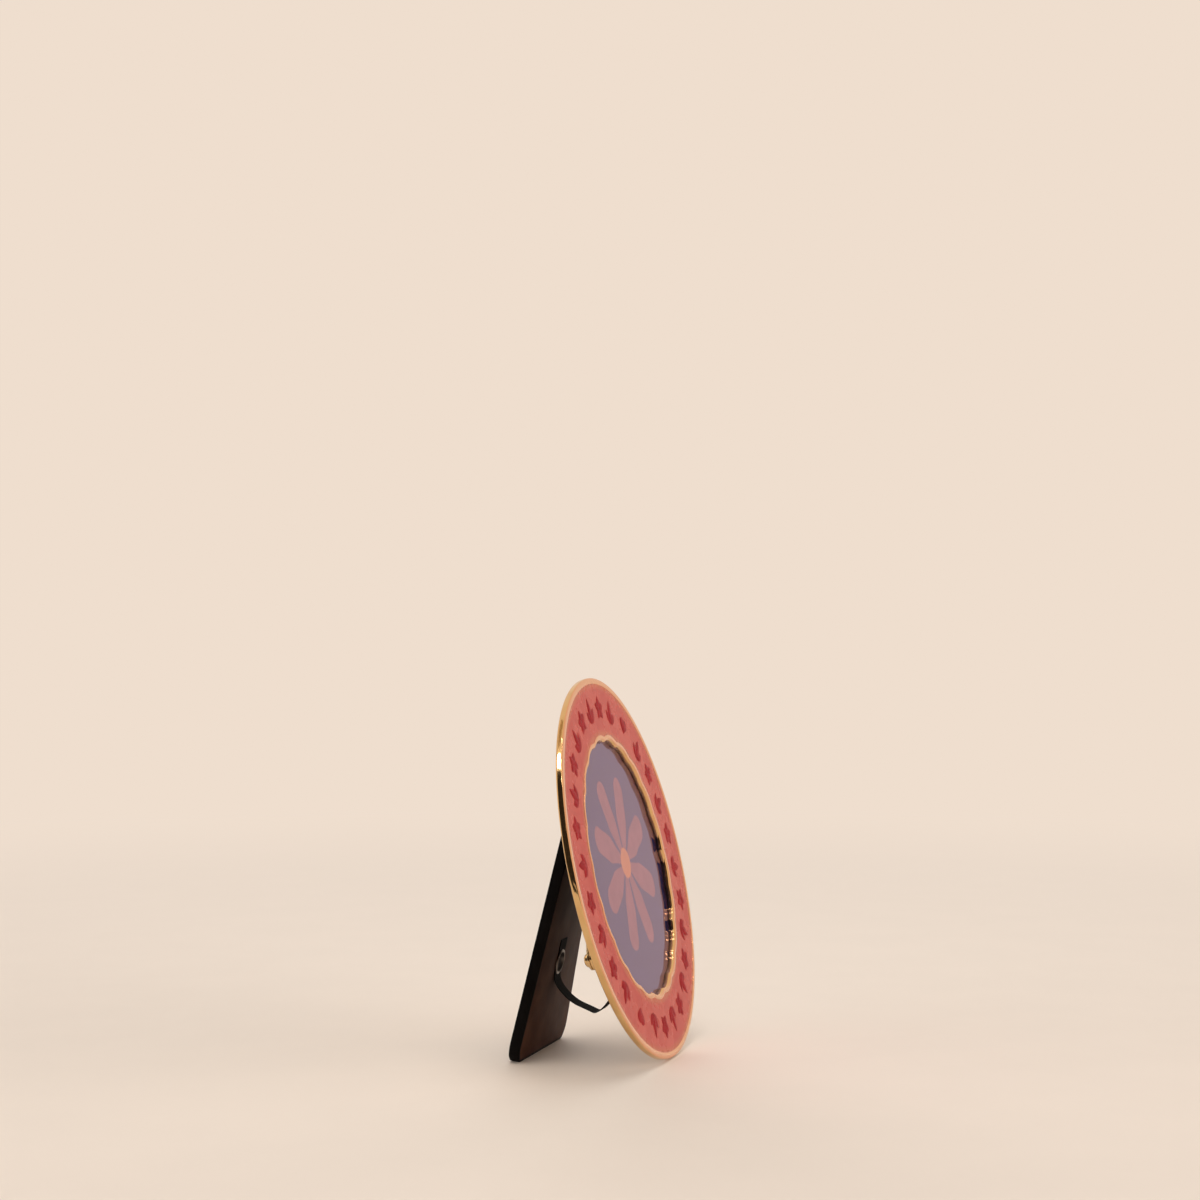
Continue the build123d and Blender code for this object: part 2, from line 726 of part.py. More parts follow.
# Ribbon: clamped under both eyelets, slack between them, with the fold that the slack makes
ribbon_on_strut = strut_inner - ribbon_thickness / 2
ribbon_on_board = cover_back + ribbon_thickness / 2
strut_leave = on_strut(strut_eyelet_drop + strut_ribbon_leave, ribbon_on_strut)
board_leave = on_disc(-board_eyelet_drop - board_ribbon_leave, ribbon_on_board)
ribbon_turns = [
    (
        strut_leave[0] + share * (board_leave[0] - strut_leave[0]),
        strut_leave[1] + share * (board_leave[1] - strut_leave[1]) - drop,
    )
    for share, drop in zip(ribbon_turn_shares, ribbon_turn_drops)
]
ribbon_route = [
    on_strut(strut_eyelet_drop - ribbon_tail, ribbon_on_strut),
    strut_leave,
    *ribbon_turns,
    board_leave,
    on_disc(-board_eyelet_drop + ribbon_tail, ribbon_on_board),
]


def corner_radii(route, free_share, clamped_share):
    """The radius at each corner: a share of its shorter run over the tangent of half the turn."""
    radii = []
    for before, here, after in zip(route, route[1:], route[2:]):
        first = Vector(here[0] - before[0], here[1] - before[1])
        second = Vector(after[0] - here[0], after[1] - here[1])
        turn = radians(first.get_angle(second))
        clamped = before == route[0] or after == route[-1]
        share = clamped_share if clamped else free_share
        radii.append(share * min(first.length, second.length) / tan(turn / 2))
    return radii


# At a clamp the bend starts only past the eyelet's flange.
free_run_share = 0.45
clamped_run_share = 0.14
ribbon_radii = corner_radii(ribbon_route, free_run_share, clamped_run_share)
with BuildPart() as ribbon:
    with BuildSketch(Plane.YZ):
        with BuildLine() as ribbon_line:
            FilletPolyline(*ribbon_route, radius=ribbon_radii)
        trace(line_width=ribbon_thickness)
    extrude(amount=ribbon_width / 2, both=True)
    with BuildSketch(behind(cover_back)):
        with Locations(board_eyelet_spot):
            Circle(eyelet_hole)
    extrude(amount=-2 * ribbon_thickness, mode=Mode.SUBTRACT)
    with BuildSketch(strut_plane.offset(strut_inner)):
        with Locations(strut_eyelet_spot):
            Circle(eyelet_hole)
    extrude(amount=-2 * ribbon_thickness, mode=Mode.SUBTRACT)
ribbon.part.label = "ribbon"
export_step(ribbon.part, "parts/ribbon.step")

ribbon_length = sum(edge.length for edge in ribbon_line.edges())
print("ribbon bend radii", [round(radius, 2) for radius in ribbon_radii])
print("ribbon length", round(ribbon_length, 2))
print(
    "ribbon volume over its section times its length",
    round(ribbon.part.volume / (ribbon_width * ribbon_thickness * ribbon_length), 3),
)
print("ribbon route", [(round(y, 2), round(z, 2)) for y, z in ribbon_route])
print("face", round(face_y, 4), round(face_height, 4), "pin", round(pin_y, 4), round(pin_height, 4))
print("opening", round(opening_radius, 3), "button ring", round(button_ring_radius, 4))
print("inner foot", [round(value, 3) for value in on_strut(inner_foot_length, strut_inner)])
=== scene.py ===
from math import cos, pi, radians, sin, sqrt, tan

import bmesh
import bpy
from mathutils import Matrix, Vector


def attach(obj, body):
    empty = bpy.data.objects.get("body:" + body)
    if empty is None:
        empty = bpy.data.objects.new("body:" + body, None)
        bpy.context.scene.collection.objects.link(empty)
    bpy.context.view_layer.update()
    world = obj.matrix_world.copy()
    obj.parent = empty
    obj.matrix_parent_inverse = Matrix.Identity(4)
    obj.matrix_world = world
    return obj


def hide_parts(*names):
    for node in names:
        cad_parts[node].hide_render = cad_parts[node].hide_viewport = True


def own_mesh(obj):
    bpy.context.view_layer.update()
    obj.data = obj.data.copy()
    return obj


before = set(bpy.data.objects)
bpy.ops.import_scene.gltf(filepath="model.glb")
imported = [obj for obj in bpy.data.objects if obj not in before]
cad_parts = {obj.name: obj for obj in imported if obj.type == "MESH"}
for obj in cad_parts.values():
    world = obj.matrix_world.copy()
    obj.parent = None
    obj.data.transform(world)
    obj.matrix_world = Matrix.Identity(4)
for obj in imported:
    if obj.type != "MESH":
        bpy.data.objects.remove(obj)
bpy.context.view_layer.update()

# Where the disc and the strut stand, in metres and degrees
stand = {
    "lean": 13.3,
    "faceY": -0.0097991,
    "faceHeight": 0.0587369,
    "pinY": 0.0037362,
    "pinHeight": 0.0812202,
    "strutLean": 12.1,
}
mm = 0.001


photoView = {
    "place": (-0.75028, -0.21321, 0.14022),
    "look": (0.96170, 0.27409, 0.00153),
    "lens": 75,
    "sensor": 36,
}
cameraData = bpy.data.cameras.new("photoCamera")
cameraData.lens = photoView["lens"]
cameraData.sensor_width = photoView["sensor"]
cameraData.clip_start = 0.01
photoCamera = bpy.data.objects.new("photoCamera", cameraData)
photoCamera.location = photoView["place"]
photoCamera.rotation_euler = Vector(photoView["look"]).to_track_quat("-Z", "Y").to_euler()
bpy.context.collection.objects.link(photoCamera)
bpy.context.scene.camera = photoCamera
print("camera set")


def deselectAll():
    bpy.ops.object.select_all(action="DESELECT")


def takeUp(piece):
    deselectAll()
    piece.select_set(True)
    bpy.context.view_layer.objects.active = piece


def editMode(piece, kind="FACE"):
    takeUp(piece)
    bpy.ops.object.mode_set(mode="EDIT")
    bpy.ops.mesh.select_mode(type=kind)
    bpy.ops.mesh.select_all(action="DESELECT")


def objectMode():
    bpy.ops.object.mode_set(mode="OBJECT")


def selectAll():
    bpy.ops.mesh.select_all(action="SELECT")


def thicken(rise):
    selectAll()
    bpy.ops.mesh.extrude_region_move(TRANSFORM_OT_translate={"value": (0, 0, rise)})


def faceOut():
    selectAll()
    bpy.ops.mesh.normals_make_consistent(inside=False)
    objectMode()


def weld():
    selectAll()
    bpy.ops.mesh.remove_doubles(threshold=1e-4)
    faceOut()


def pickVertices(piece, test):
    bpy.ops.mesh.select_all(action="DESELECT")
    shape = bmesh.from_edit_mesh(piece.data)
    for vertex in shape.verts:
        vertex.select_set(test(vertex.co))
    shape.select_flush_mode()
    bmesh.update_edit_mesh(piece.data)


def applyModifier(piece, kind, **values):
    takeUp(piece)
    modifier = piece.modifiers.new(kind.lower(), kind)
    for key, value in values.items():
        setattr(modifier, key, value)
    bpy.ops.object.modifier_apply(modifier=modifier.name)


def roundEdges(piece, width, segments=3, angle=30):
    applyModifier(
        piece, "BEVEL", width=width, segments=segments, limit_method="ANGLE",
        angle_limit=radians(angle),
    )


def smooth(piece, angle=35):
    takeUp(piece)
    bpy.ops.object.shade_smooth_by_angle(angle=radians(angle))


def cutBy(piece, cutter, **options):
    applyModifier(
        piece, "BOOLEAN", operation="DIFFERENCE", solver="EXACT", object=cutter, **options
    )
    discard(cutter)


def drill(piece, x, y, radius):
    # A hole right through a piece that lies flat, from well over it to well under it
    deselectAll()
    bpy.ops.mesh.primitive_cylinder_add(vertices=48, radius=radius, depth=18, location=(x, y, 0))
    cutBy(piece, bpy.context.object)


def discard(piece):
    bpy.data.objects.remove(piece, do_unlink=True)


def copyOf(piece, name):
    twin = piece.copy()
    twin.data = piece.data.copy()
    twin.name = name
    bpy.context.collection.objects.link(twin)
    return twin


def joinAll(pieces, name):
    deselectAll()
    for piece in pieces:
        piece.select_set(True)
    bpy.context.view_layer.objects.active = pieces[0]
    bpy.ops.object.join()
    pieces[0].name = name
    return pieces[0]


def applyPlace(piece):
    takeUp(piece)
    bpy.ops.object.transform_apply(location=True, rotation=True, scale=True)


def movedTo(piece, x, y, z=0.0, turn=0.0):
    piece.location = (x, y, z)
    piece.rotation_euler = (0, 0, radians(turn))
    applyPlace(piece)
    return piece


def justAdded(name, scale=(1, 1, 1)):
    piece = bpy.context.object
    piece.name = name
    piece.scale = scale
    applyPlace(piece)
    return piece


def flatDisc(name, radius, height, vertices):
    deselectAll()
    bpy.ops.mesh.primitive_circle_add(
        vertices=vertices, radius=radius, fill_type="NGON", location=(0, 0, height)
    )
    return justAdded(name)


def block(size, place=(0, 0, 0)):
    deselectAll()
    bpy.ops.mesh.primitive_cube_add(size=1, location=place)
    return justAdded("block", size)


# Pieces are shaped lying flat in millimetres, the disc with its front up and its centre at 0,
# the strut with its back up and the hinge pin at 0. Then they are stood up in metres.
onDisc = (stand["faceY"], stand["faceHeight"], radians(90 - stand["lean"]))
onStrut = (stand["pinY"], stand["pinHeight"], radians(stand["strutLean"] - 90))


def standUp(piece, place):
    y, height, turn = place
    piece.scale = (mm, mm, mm)
    piece.rotation_euler = (turn, 0, 0)
    piece.location = (0, y, height)
    applyPlace(piece)


def flatDirection(degrees):
    return Vector((cos(radians(degrees)), sin(radians(degrees)), 0))


def spunRing(name, section, steps, soften=()):
    # A closed section of (radius, height) corners, spun round Z, where soften gives the corners
    # to round, each with its width and segments
    deselectAll()
    bpy.ops.mesh.primitive_circle_add(vertices=len(section), radius=1, fill_type="NGON")
    piece = bpy.context.object
    piece.name = name
    for vertex, (radius, height) in zip(piece.data.vertices, section):
        vertex.co = (radius, 0, height)
    editMode(piece, "VERT")
    for corner, width, segments in soften:
        radius, height = section[corner]
        place = Vector((radius, 0, height))
        pickVertices(piece, lambda co: (co - place).length < 1e-5)
        bpy.ops.mesh.bevel(offset=width, segments=segments, affect="VERTICES")
    selectAll()
    bpy.ops.mesh.delete(type="ONLY_FACE")
    selectAll()
    bpy.ops.mesh.spin(steps=steps, angle=2 * pi, center=(0, 0, 0), axis=(0, 0, 1))
    weld()
    return piece


def newFinish(name):
    material = bpy.data.materials.new(name)
    material.use_nodes = True
    tree = material.node_tree
    return material, tree, tree.nodes["Principled BSDF"]


def feed(socket, value):
    # Another node's output is linked, and a number or colour is set on the socket itself
    if hasattr(value, "is_output"):
        socket.id_data.links.new(value, socket)
    else:
        socket.default_value = value


def addNode(tree, kind, inputs, **values):
    node = tree.nodes.new(kind)
    for key, value in values.items():
        setattr(node, key, value)
    for key, value in inputs.items():
        feed(node.inputs[key], value)
    return node


def maths(operation, first, second=0.0, clamp=False):
    tree = next(value.id_data for value in (first, second) if hasattr(value, "is_output"))
    return addNode(
        tree, "ShaderNodeMath", {0: first, 1: second}, operation=operation, use_clamp=clamp
    ).outputs[0]


def added(*values):
    total = values[0]
    for value in values[1:]:
        total = maths("ADD", total, value)
    return total


def times(first, second):
    return maths("MULTIPLY", first, second)


def minus(first, second):
    return maths("SUBTRACT", first, second)


def lengthOf(x, y):
    return maths("SQRT", added(times(x, x), times(y, y)))


def vectorMaths(operation, first, second=(0.0, 0.0, 0.0), output=0):
    return addNode(
        first.id_data, "ShaderNodeVectorMath", {0: first, 1: second}, operation=operation
    ).outputs[output]


def partsOf(vector):
    return addNode(vector.id_data, "ShaderNodeSeparateXYZ", {0: vector}).outputs


def showMix(tree, share, first, second, output="Material Output"):
    shaders = {0: share, 1: first.outputs[0], 2: second.outputs[0]}
    mix = addNode(tree, "ShaderNodeMixShader", shaders)
    feed(tree.nodes[output].inputs["Surface"], mix.outputs[0])


def plainCoords(tree):
    return tree.nodes.new("ShaderNodeTexCoord").outputs["Object"]


def flatCoords(tree, place):
    # Where a point lay while its piece was still flat, in metres
    y, height, turn = place
    return addNode(tree, "ShaderNodeMapping", {
        "Vector": plainCoords(tree), "Location": (0, y, height), "Rotation": (turn, 0, 0),
    }, vector_type="TEXTURE").outputs[0]


def stretched(coords, scale):
    look = {"Vector": coords, "Scale": scale}
    return addNode(coords.id_data, "ShaderNodeMapping", look).outputs[0]


def noise(coords, scale, detail=3.0, rough=0.5):
    look = {"Vector": coords, "Scale": scale, "Detail": detail, "Roughness": rough}
    return addNode(coords.id_data, "ShaderNodeTexNoise", look).outputs["Fac"]


def spread(value, low, high, toLow=0.0, toHigh=1.0, soft=False):
    return addNode(
        value.id_data, "ShaderNodeMapRange",
        {"Value": value, "From Min": low, "From Max": high, "To Min": toLow, "To Max": toHigh},
        interpolation_type="SMOOTHSTEP" if soft else "LINEAR",
    ).outputs[0]


def blended(factor, first, second):
    node = factor.id_data.nodes.new("ShaderNodeMix")
    node.data_type = "RGBA"
    sockets = [s for s in node.inputs if s.type == "RGBA"]
    for socket, value in ((node.inputs[0], factor), (sockets[0], first), (sockets[1], second)):
        feed(socket, (*value, 1.0) if isinstance(value, tuple) else value)
    return [s for s in node.outputs if s.type == "RGBA"][0]


def bump(shader, height, strength, depth):
    relief = {"Height": height, "Strength": strength, "Distance": depth}
    node = addNode(shader.id_data, "ShaderNodeBump", relief)
    feed(shader.inputs["Normal"], node.outputs[0])


def coat(shader, color, rough, gloss=0.5, metal=0.0):
    look = {"Base Color": color, "Roughness": rough, "Specular IOR Level": gloss, "Metallic": metal}
    for key, value in look.items():
        feed(shader.inputs[key], value)


def dress(piece, finish):
    piece.data.materials.clear()
    piece.data.materials.append(finish)


def done(piece, finish, slotName, body, *replaced):
    dress(piece, finish)
    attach(piece, body)
    if replaced:
        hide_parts(*replaced)


def fitted(piece, place, *details):
    # The last steps of a piece that was shaped lying flat
    standUp(piece, place)
    smooth(piece)
    done(piece, *details)


def metalFinish(name, color, dark, rough, pitted, grainScale, waveScale, depth):
    material, tree, shader = newFinish(name)
    coords = plainCoords(tree)
    cloud = noise(coords, waveScale, 2.0)
    grain = noise(coords, grainScale, 4.0, 0.6)
    tone = blended(spread(cloud, 0.35, 0.7), color, dark)
    coat(shader, tone, spread(grain, 0.3, 0.75, rough, rough + pitted), metal=1.0)
    bump(shader, added(cloud, times(grain, 0.05)), 1.0, depth)
    return material


def rimFinish():
    # The plated casting: pinker on the face of its lips, and rippled on the wall of the opening
    look = {
        "gold": (0.80, 0.53, 0.25),
        "deep": (0.74, 0.46, 0.20),
        "lip": (0.82, 0.42, 0.22),
        "rough": (0.05, 0.11),
        "clouds": 140,
        "grain": 2600,
        "grainShare": 0.05,
        # The lips' face lies above these heights, and the wall below them, within the opening
        "faceFrom": (-0.0003, -0.0001),
        "wallFrom": (-0.0004, -0.0001),
        "wallWithin": (0.0410, 0.0418),
        "ripple": 420,
        "rippleShare": 1.2,
        "depth": 0.00004,
    }
    material, tree, shader = newFinish("giltBrass")
    coords = flatCoords(tree, onDisc)
    x, y, height = partsOf(coords)
    onFace = spread(height, *look["faceFrom"])
    withinWall = spread(lengthOf(x, y), *look["wallWithin"], 1.0, 0.0)
    onWall = times(withinWall, spread(height, *look["wallFrom"], 1.0, 0.0))
    cloud = noise(coords, look["clouds"], 2.0)
    grain = noise(coords, look["grain"], 4.0, 0.6)
    ripple = times(noise(coords, look["ripple"], 2.0), onWall)
    gold = blended(spread(cloud, 0.35, 0.7), look["gold"], look["deep"])
    color = blended(onFace, gold, look["lip"])
    coat(shader, color, spread(grain, 0.3, 0.75, *look["rough"]), metal=1.0)
    grain = times(grain, look["grainShare"])
    relief = added(cloud, grain, times(ripple, look["rippleShare"]))
    bump(shader, relief, 1.0, look["depth"])
    return material


giltBrass = rimFinish()
metalLooks = {
    # Colour and its darker clouds, roughness and its pitting, grain, clouds and depth
    "screwBrass": ((0.78, 0.54, 0.27), (0.62, 0.40, 0.18), 0.10, 0.12, 3000, 400, 0.00003),
    "sheetBrass": ((0.74, 0.52, 0.27), (0.60, 0.40, 0.19), 0.14, 0.14, 3000, 300, 0.00003),
    "nickel": ((0.52, 0.49, 0.46), (0.42, 0.39, 0.36), 0.22, 0.14, 3000, 300, 0.00002),
    # A darker nickel for both eyelets: painted shade, standing in for their dark bores
    "shadedNickel": ((0.21, 0.19, 0.18), (0.13, 0.12, 0.11), 0.28, 0.14, 3000, 500, 0.00002),
    "hingeSteel": ((0.50, 0.48, 0.45), (0.38, 0.36, 0.33), 0.30, 0.16, 2600, 260, 0.00003),
}
metals = {name: metalFinish(name, *look) for name, look in metalLooks.items()}


def enamelFinish():
    look = {
        "body": (0.42, 0.047, 0.034),
        "pale": (0.48, 0.078, 0.056),
        "edge": (0.45, 0.112, 0.056),
        "outer": 0.058,
        "inner": 0.0418,
        "edgeWidth": 0.0022,
        "clouds": 120,
        "rough": (0.24, 0.30),
        "gloss": 0.08,
        "depth": 0.00005,
    }
    material, tree, shader = newFinish("pinkEnamel")
    coords = flatCoords(tree, onDisc)
    radius = vectorMaths("LENGTH", coords, output="Value")
    nearest = maths("MINIMUM", minus(look["outer"], radius), minus(radius, look["inner"]))
    edge = spread(nearest, 0.0, look["edgeWidth"], 1.0, 0.0, True)
    cloud = noise(coords, look["clouds"], 3.0)
    body = blended(spread(cloud, 0.35, 0.68), look["body"], look["pale"])
    color = blended(edge, body, look["edge"])
    coat(shader, color, spread(cloud, 0.3, 0.7, *look["rough"]), look["gloss"])
    bump(shader, cloud, 0.5, look["depth"])
    return material


def inlayFinish():
    look = {
        "deep": (0.26, 0.0107, 0.0137),
        "pale": (0.32, 0.018, 0.021),
        "clouds": 260,
        "grain": 2200,
        "rough": (0.24, 0.34),
        "gloss": 0.01,
        "depth": 0.00004,
    }
    material, tree, shader = newFinish("darkRedEnamel")
    coords = flatCoords(tree, onDisc)
    cloud = noise(coords, look["clouds"], 3.0)
    grain = noise(coords, look["grain"], 3.0)
    color = blended(spread(cloud, 0.35, 0.65), look["deep"], look["pale"])
    coat(shader, color, spread(grain, 0.3, 0.7, *look["rough"]), look["gloss"])
    bump(shader, cloud, 0.3, look["depth"])
    return material


def glassFinish():
    # A thin pane: both its faces mirror as one, and the rest shows the card
    look = {
        "mirror": (1.0, 0.80, 0.98, 1.0),
        "clear": (0.97, 0.985, 0.98, 1.0),
        "bend": 1.5,
        "bothFaces": 1.25,
        "streaks": 60,
        "streakStretch": (1.0, 0.25, 1.0),
        "rough": (0.01, 0.03),
    }
    material, tree, shader = newFinish("paneGlass")
    tree.nodes.remove(shader)
    coords = stretched(flatCoords(tree, onDisc), look["streakStretch"])
    streaks = noise(coords, look["streaks"], 3.0)
    mirror = addNode(tree, "ShaderNodeBsdfGlossy", {
        "Color": look["mirror"], "Roughness": spread(streaks, 0.3, 0.7, *look["rough"]),
    })
    clear = addNode(tree, "ShaderNodeBsdfTransparent", {"Color": look["clear"]})
    fresnel = addNode(tree, "ShaderNodeFresnel", {"IOR": look["bend"]})
    behind = tree.nodes.new("ShaderNodeNewGeometry").outputs["Backfacing"]
    share = maths("MULTIPLY", fresnel.outputs[0], look["bothFaces"], clamp=True)
    share = times(share, minus(1.0, behind))
    showMix(tree, share, clear, mirror)
    return material


def printFinish():
    daisy = {
        "petals": 8,
        "tip": 0.0285,
        "petalRound": 0.0042,
        "widestFrom": 0.0142,
        "centre": (0.0014, 0.0013, 0.0),
        "heart": 0.0048,
        "ground": (0.008, 0.010, 0.075),
        "petalColor": (0.218, 0.049, 0.054),
        "petalPale": (0.27, 0.068, 0.073),
        "heartColor": (0.56, 0.150, 0.012),
        "petalEdge": (-0.00025, 0.0003),
        "heartEdge": 0.0003,
        "wobble": 90.0,
        "wobbleBy": 0.0016,
        "brushed": 300,
        "fibre": 2400,
        "rough": (0.5, 0.6),
        "gloss": 0.1,
        "depth": 0.00001,
    }
    material, tree, shader = newFinish("printedCard")
    coords = flatCoords(tree, onDisc)
    wobble = addNode(
        tree, "ShaderNodeTexNoise", {"Vector": coords, "Scale": daisy["wobble"], "Detail": 1.0}
    ).outputs["Color"]
    shift = addNode(tree, "ShaderNodeVectorMath", {
        0: vectorMaths("ADD", wobble, (-0.5, -0.5, -0.5)), "Scale": daisy["wobbleBy"],
    }, operation="SCALE").outputs[0]
    moved = vectorMaths("SUBTRACT", vectorMaths("ADD", coords, shift), daisy["centre"])
    x, y, height = partsOf(moved)
    radius = lengthOf(x, y)
    sector = 2 * pi / daisy["petals"]
    turns = maths("DIVIDE", maths("ARCTAN2", y, x), sector)
    angle = times(minus(maths("FRACT", turns), 0.5), sector)
    along = times(radius, maths("COSINE", angle))
    across = maths("ABSOLUTE", times(radius, maths("SINE", angle)))
    # A petal is a wedge out to its widest, and from there a round-ended bar
    roundAt = daisy["tip"] - daisy["petalRound"]
    slope = daisy["petalRound"] / daisy["widestFrom"]
    wedge = maths(
        "MAXIMUM",
        minus(times(across, sqrt(1 - slope * slope)), times(along, slope)),
        minus(along, daisy["widestFrom"] * (1 - slope * slope)),
    )
    onBar = addNode(
        tree, "ShaderNodeClamp", {"Value": along, "Min": daisy["widestFrom"], "Max": roundAt}
    ).outputs[0]
    bulb = minus(lengthOf(minus(along, onBar), across), daisy["petalRound"])
    petal = spread(maths("MINIMUM", wedge, bulb), *daisy["petalEdge"], 1.0, 0.0, True)
    soft = daisy["heartEdge"]
    heart = spread(radius, daisy["heart"] - soft, daisy["heart"] + soft, 1.0, 0.0, True)
    tone = spread(noise(coords, daisy["brushed"], 4.0, 0.6), 0.35, 0.65)
    petalTone = blended(tone, daisy["petalColor"], daisy["petalPale"])
    color = blended(petal, daisy["ground"], petalTone)
    color = blended(heart, color, daisy["heartColor"])
    fibre = noise(coords, daisy["fibre"], 4.0)
    coat(shader, color, spread(fibre, 0.3, 0.7, *daisy["rough"]), daisy["gloss"])
    bump(shader, fibre, 0.1, daisy["depth"])
    return material


def boardFinish():
    look = {
        "dark": (0.20, 0.165, 0.125),
        "pale": (0.33, 0.29, 0.235),
        "layer": (0.24, 0.19, 0.14),
        "flecks": 900,
        "layers": 120,
        "rough": 0.9,
        "depth": 0.00006,
    }
    material, tree, shader = newFinish("greyBoard")
    coords = plainCoords(tree)
    flecks = noise(coords, look["flecks"], 5.0, 0.7)
    layers = spread(noise(coords, look["layers"], 3.0), 0.4, 0.7, 0.0, 0.5)
    color = blended(spread(flecks, 0.35, 0.7), look["dark"], look["pale"])
    coat(shader, blended(layers, color, look["layer"]), look["rough"])
    bump(shader, flecks, 0.5, look["depth"])
    return material


def paperFinish(name, place, dark, pale, grain, rough, depth):
    # Embossed paper: fine leather-like cells with a slight wear
    material, tree, shader = newFinish(name)
    coords = flatCoords(tree, place)
    cells = addNode(
        tree, "ShaderNodeTexVoronoi", {"Vector": coords, "Scale": grain}, feature="SMOOTH_F1"
    ).outputs["Distance"]
    cloud = noise(coords, 90, 4.0)
    fibre = noise(stretched(coords, (1.0, 0.12, 1.0)), 1500, 4.0, 0.6)
    tone = added(spread(cloud, 0.35, 0.7, 0.0, 0.6), spread(fibre, 0.4, 0.75, 0.0, 0.5))
    worn = spread(fibre, 0.3, 0.7, rough, rough + 0.15)
    coat(shader, blended(tone, dark, pale), worn, 0.06)
    bump(shader, added(cells, times(fibre, 0.4)), 0.6, depth)
    return material


def ribbonFinish():
    # Woven satin: fine ribs across the width, and firmer selvedges, on the ribbon's own map
    look = {
        "dark": (0.002, 0.0014, 0.0012),
        "pale": (0.006, 0.004, 0.0034),
        "ribPitch": 0.00045,
        "threadPitch": 0.0003,
        "selvedge": (0.0026, 0.0029),
        "slubs": (300.0, 1500.0, 1.0),
        "rough": 0.7,
        "gloss": 0.02,
        "depth": 0.00004,
    }
    material, tree, shader = newFinish("blackRibbon")
    uv = tree.nodes.new("ShaderNodeTexCoord").outputs["UV"]
    along, across, height = partsOf(uv)
    ribs = maths("SINE", times(along, 2 * pi / look["ribPitch"]))
    threads = maths("SINE", times(across, 2 * pi / look["threadPitch"]))
    selvedge = spread(maths("ABSOLUTE", across), *look["selvedge"], 0.0, 1.0, True)
    slubs = noise(stretched(uv, look["slubs"]), 1.0, 3.0)
    tone = spread(added(slubs, times(ribs, 0.1)), 0.3, 0.8)
    color = blended(tone, look["dark"], look["pale"])
    coat(shader, color, look["rough"], look["gloss"])
    relief = added(times(ribs, 0.5), times(threads, 0.2), selvedge)
    bump(shader, relief, 0.5, look["depth"])
    return material


pinkEnamel = enamelFinish()
darkRedEnamel = inlayFinish()
paneGlass = glassFinish()
printedFace = printFinish()
greyBoard = boardFinish()
paperLooks = {
    # Where it lies, its two colours, grain, roughness and depth
    "blackPaper": (onStrut, (0.0016, 0.0011, 0.0010), (0.006, 0.0042, 0.0036), 2200, 0.5, 0.00004),
    "backPaper": (onDisc, (0.005, 0.0042, 0.004), (0.016, 0.013, 0.011), 2200, 0.5, 0.00004),
    "liningPaper": (onStrut, (0.046, 0.016, 0.009), (0.100, 0.045, 0.027), 1400, 0.55, 0.00003),
}
papers = {name: paperFinish(name, *look) for name, look in paperLooks.items()}
blackRibbon = ribbonFinish()
print("finishes made")


stayRibbon = {
    # From the board's eyelet down, along the fold of the slack, and up to the strut's eyelet
    "route": [
        (0, -0.01118, 0.02887),
        (0, -0.01183, 0.02613),
        (0, -0.00543, 0.02011),
        (0, 0.00049, 0.01252),
        (0, 0.00371, 0.01388),
        (0, 0.00963, 0.01619),
        (0, 0.01506, 0.02207),
        (0, 0.01447, 0.02481),
    ],
    "boardTail": [(0, -0.00870, 0.03936), (0, -0.01118, 0.02887)],
    "strutTail": [(0, 0.01447, 0.02481), (0, 0.01221, 0.03537)],
    "holes": {
        "boardTail": ((0, -0.01040, 0.03216), 76.7),
        "strutTail": ((0, 0.01376, 0.02813), -77.9),
    },
    "hole": 0.0032,
    "punch": 0.004,
    "width": 0.0064,
    "thickness": 0.00025,
    "rows": 8,
}


def smoothRoute(points):
    curve = bpy.data.curves.new("ribbonLine", "CURVE")
    curve.dimensions = "3D"
    curve.resolution_u = 16
    spline = curve.splines.new("NURBS")
    spline.points.add(len(points) - 1)
    for control, point in zip(spline.points, points):
        control.co = (*point, 1.0)
    spline.order_u = 3
    spline.use_endpoint_u = True
    holder = bpy.data.objects.new("ribbonLine", curve)
    bpy.context.collection.objects.link(holder)
    bpy.context.view_layer.update()
    line = bpy.data.meshes.new_from_object(holder)
    places = [vertex.co.copy() for vertex in line.vertices]
    discard(holder)
    return places


def strip(name, places, look):
    # A flat strip along the places, with its own map: length along U, width across V, in metres
    count = look["rows"]
    shape = bmesh.new()
    rows = [[
        shape.verts.new((place[0] + (k / count - 0.5) * look["width"], place[1], place[2]))
        for k in range(count + 1)
    ] for place in places]
    uv = shape.loops.layers.uv.new("UVMap")
    travelled = [0.0]
    for before, here in zip(places, places[1:]):
        travelled.append(travelled[-1] + (Vector(here) - Vector(before)).length)
    for row in range(len(places) - 1):
        for k in range(count):
            corners = ((row, k), (row, k + 1), (row + 1, k + 1), (row + 1, k))
            face = shape.faces.new([rows[step][side] for step, side in corners])
            for loop, (step, side) in zip(face.loops, corners):
                loop[uv].uv = (travelled[step], (side / count - 0.5) * look["width"])
    mesh = bpy.data.meshes.new(name)
    shape.to_mesh(mesh)
    shape.free()
    piece = bpy.data.objects.new(name, mesh)
    bpy.context.collection.objects.link(piece)
    applyModifier(piece, "SOLIDIFY", thickness=look["thickness"], offset=0.0)
    smooth(piece)
    return piece


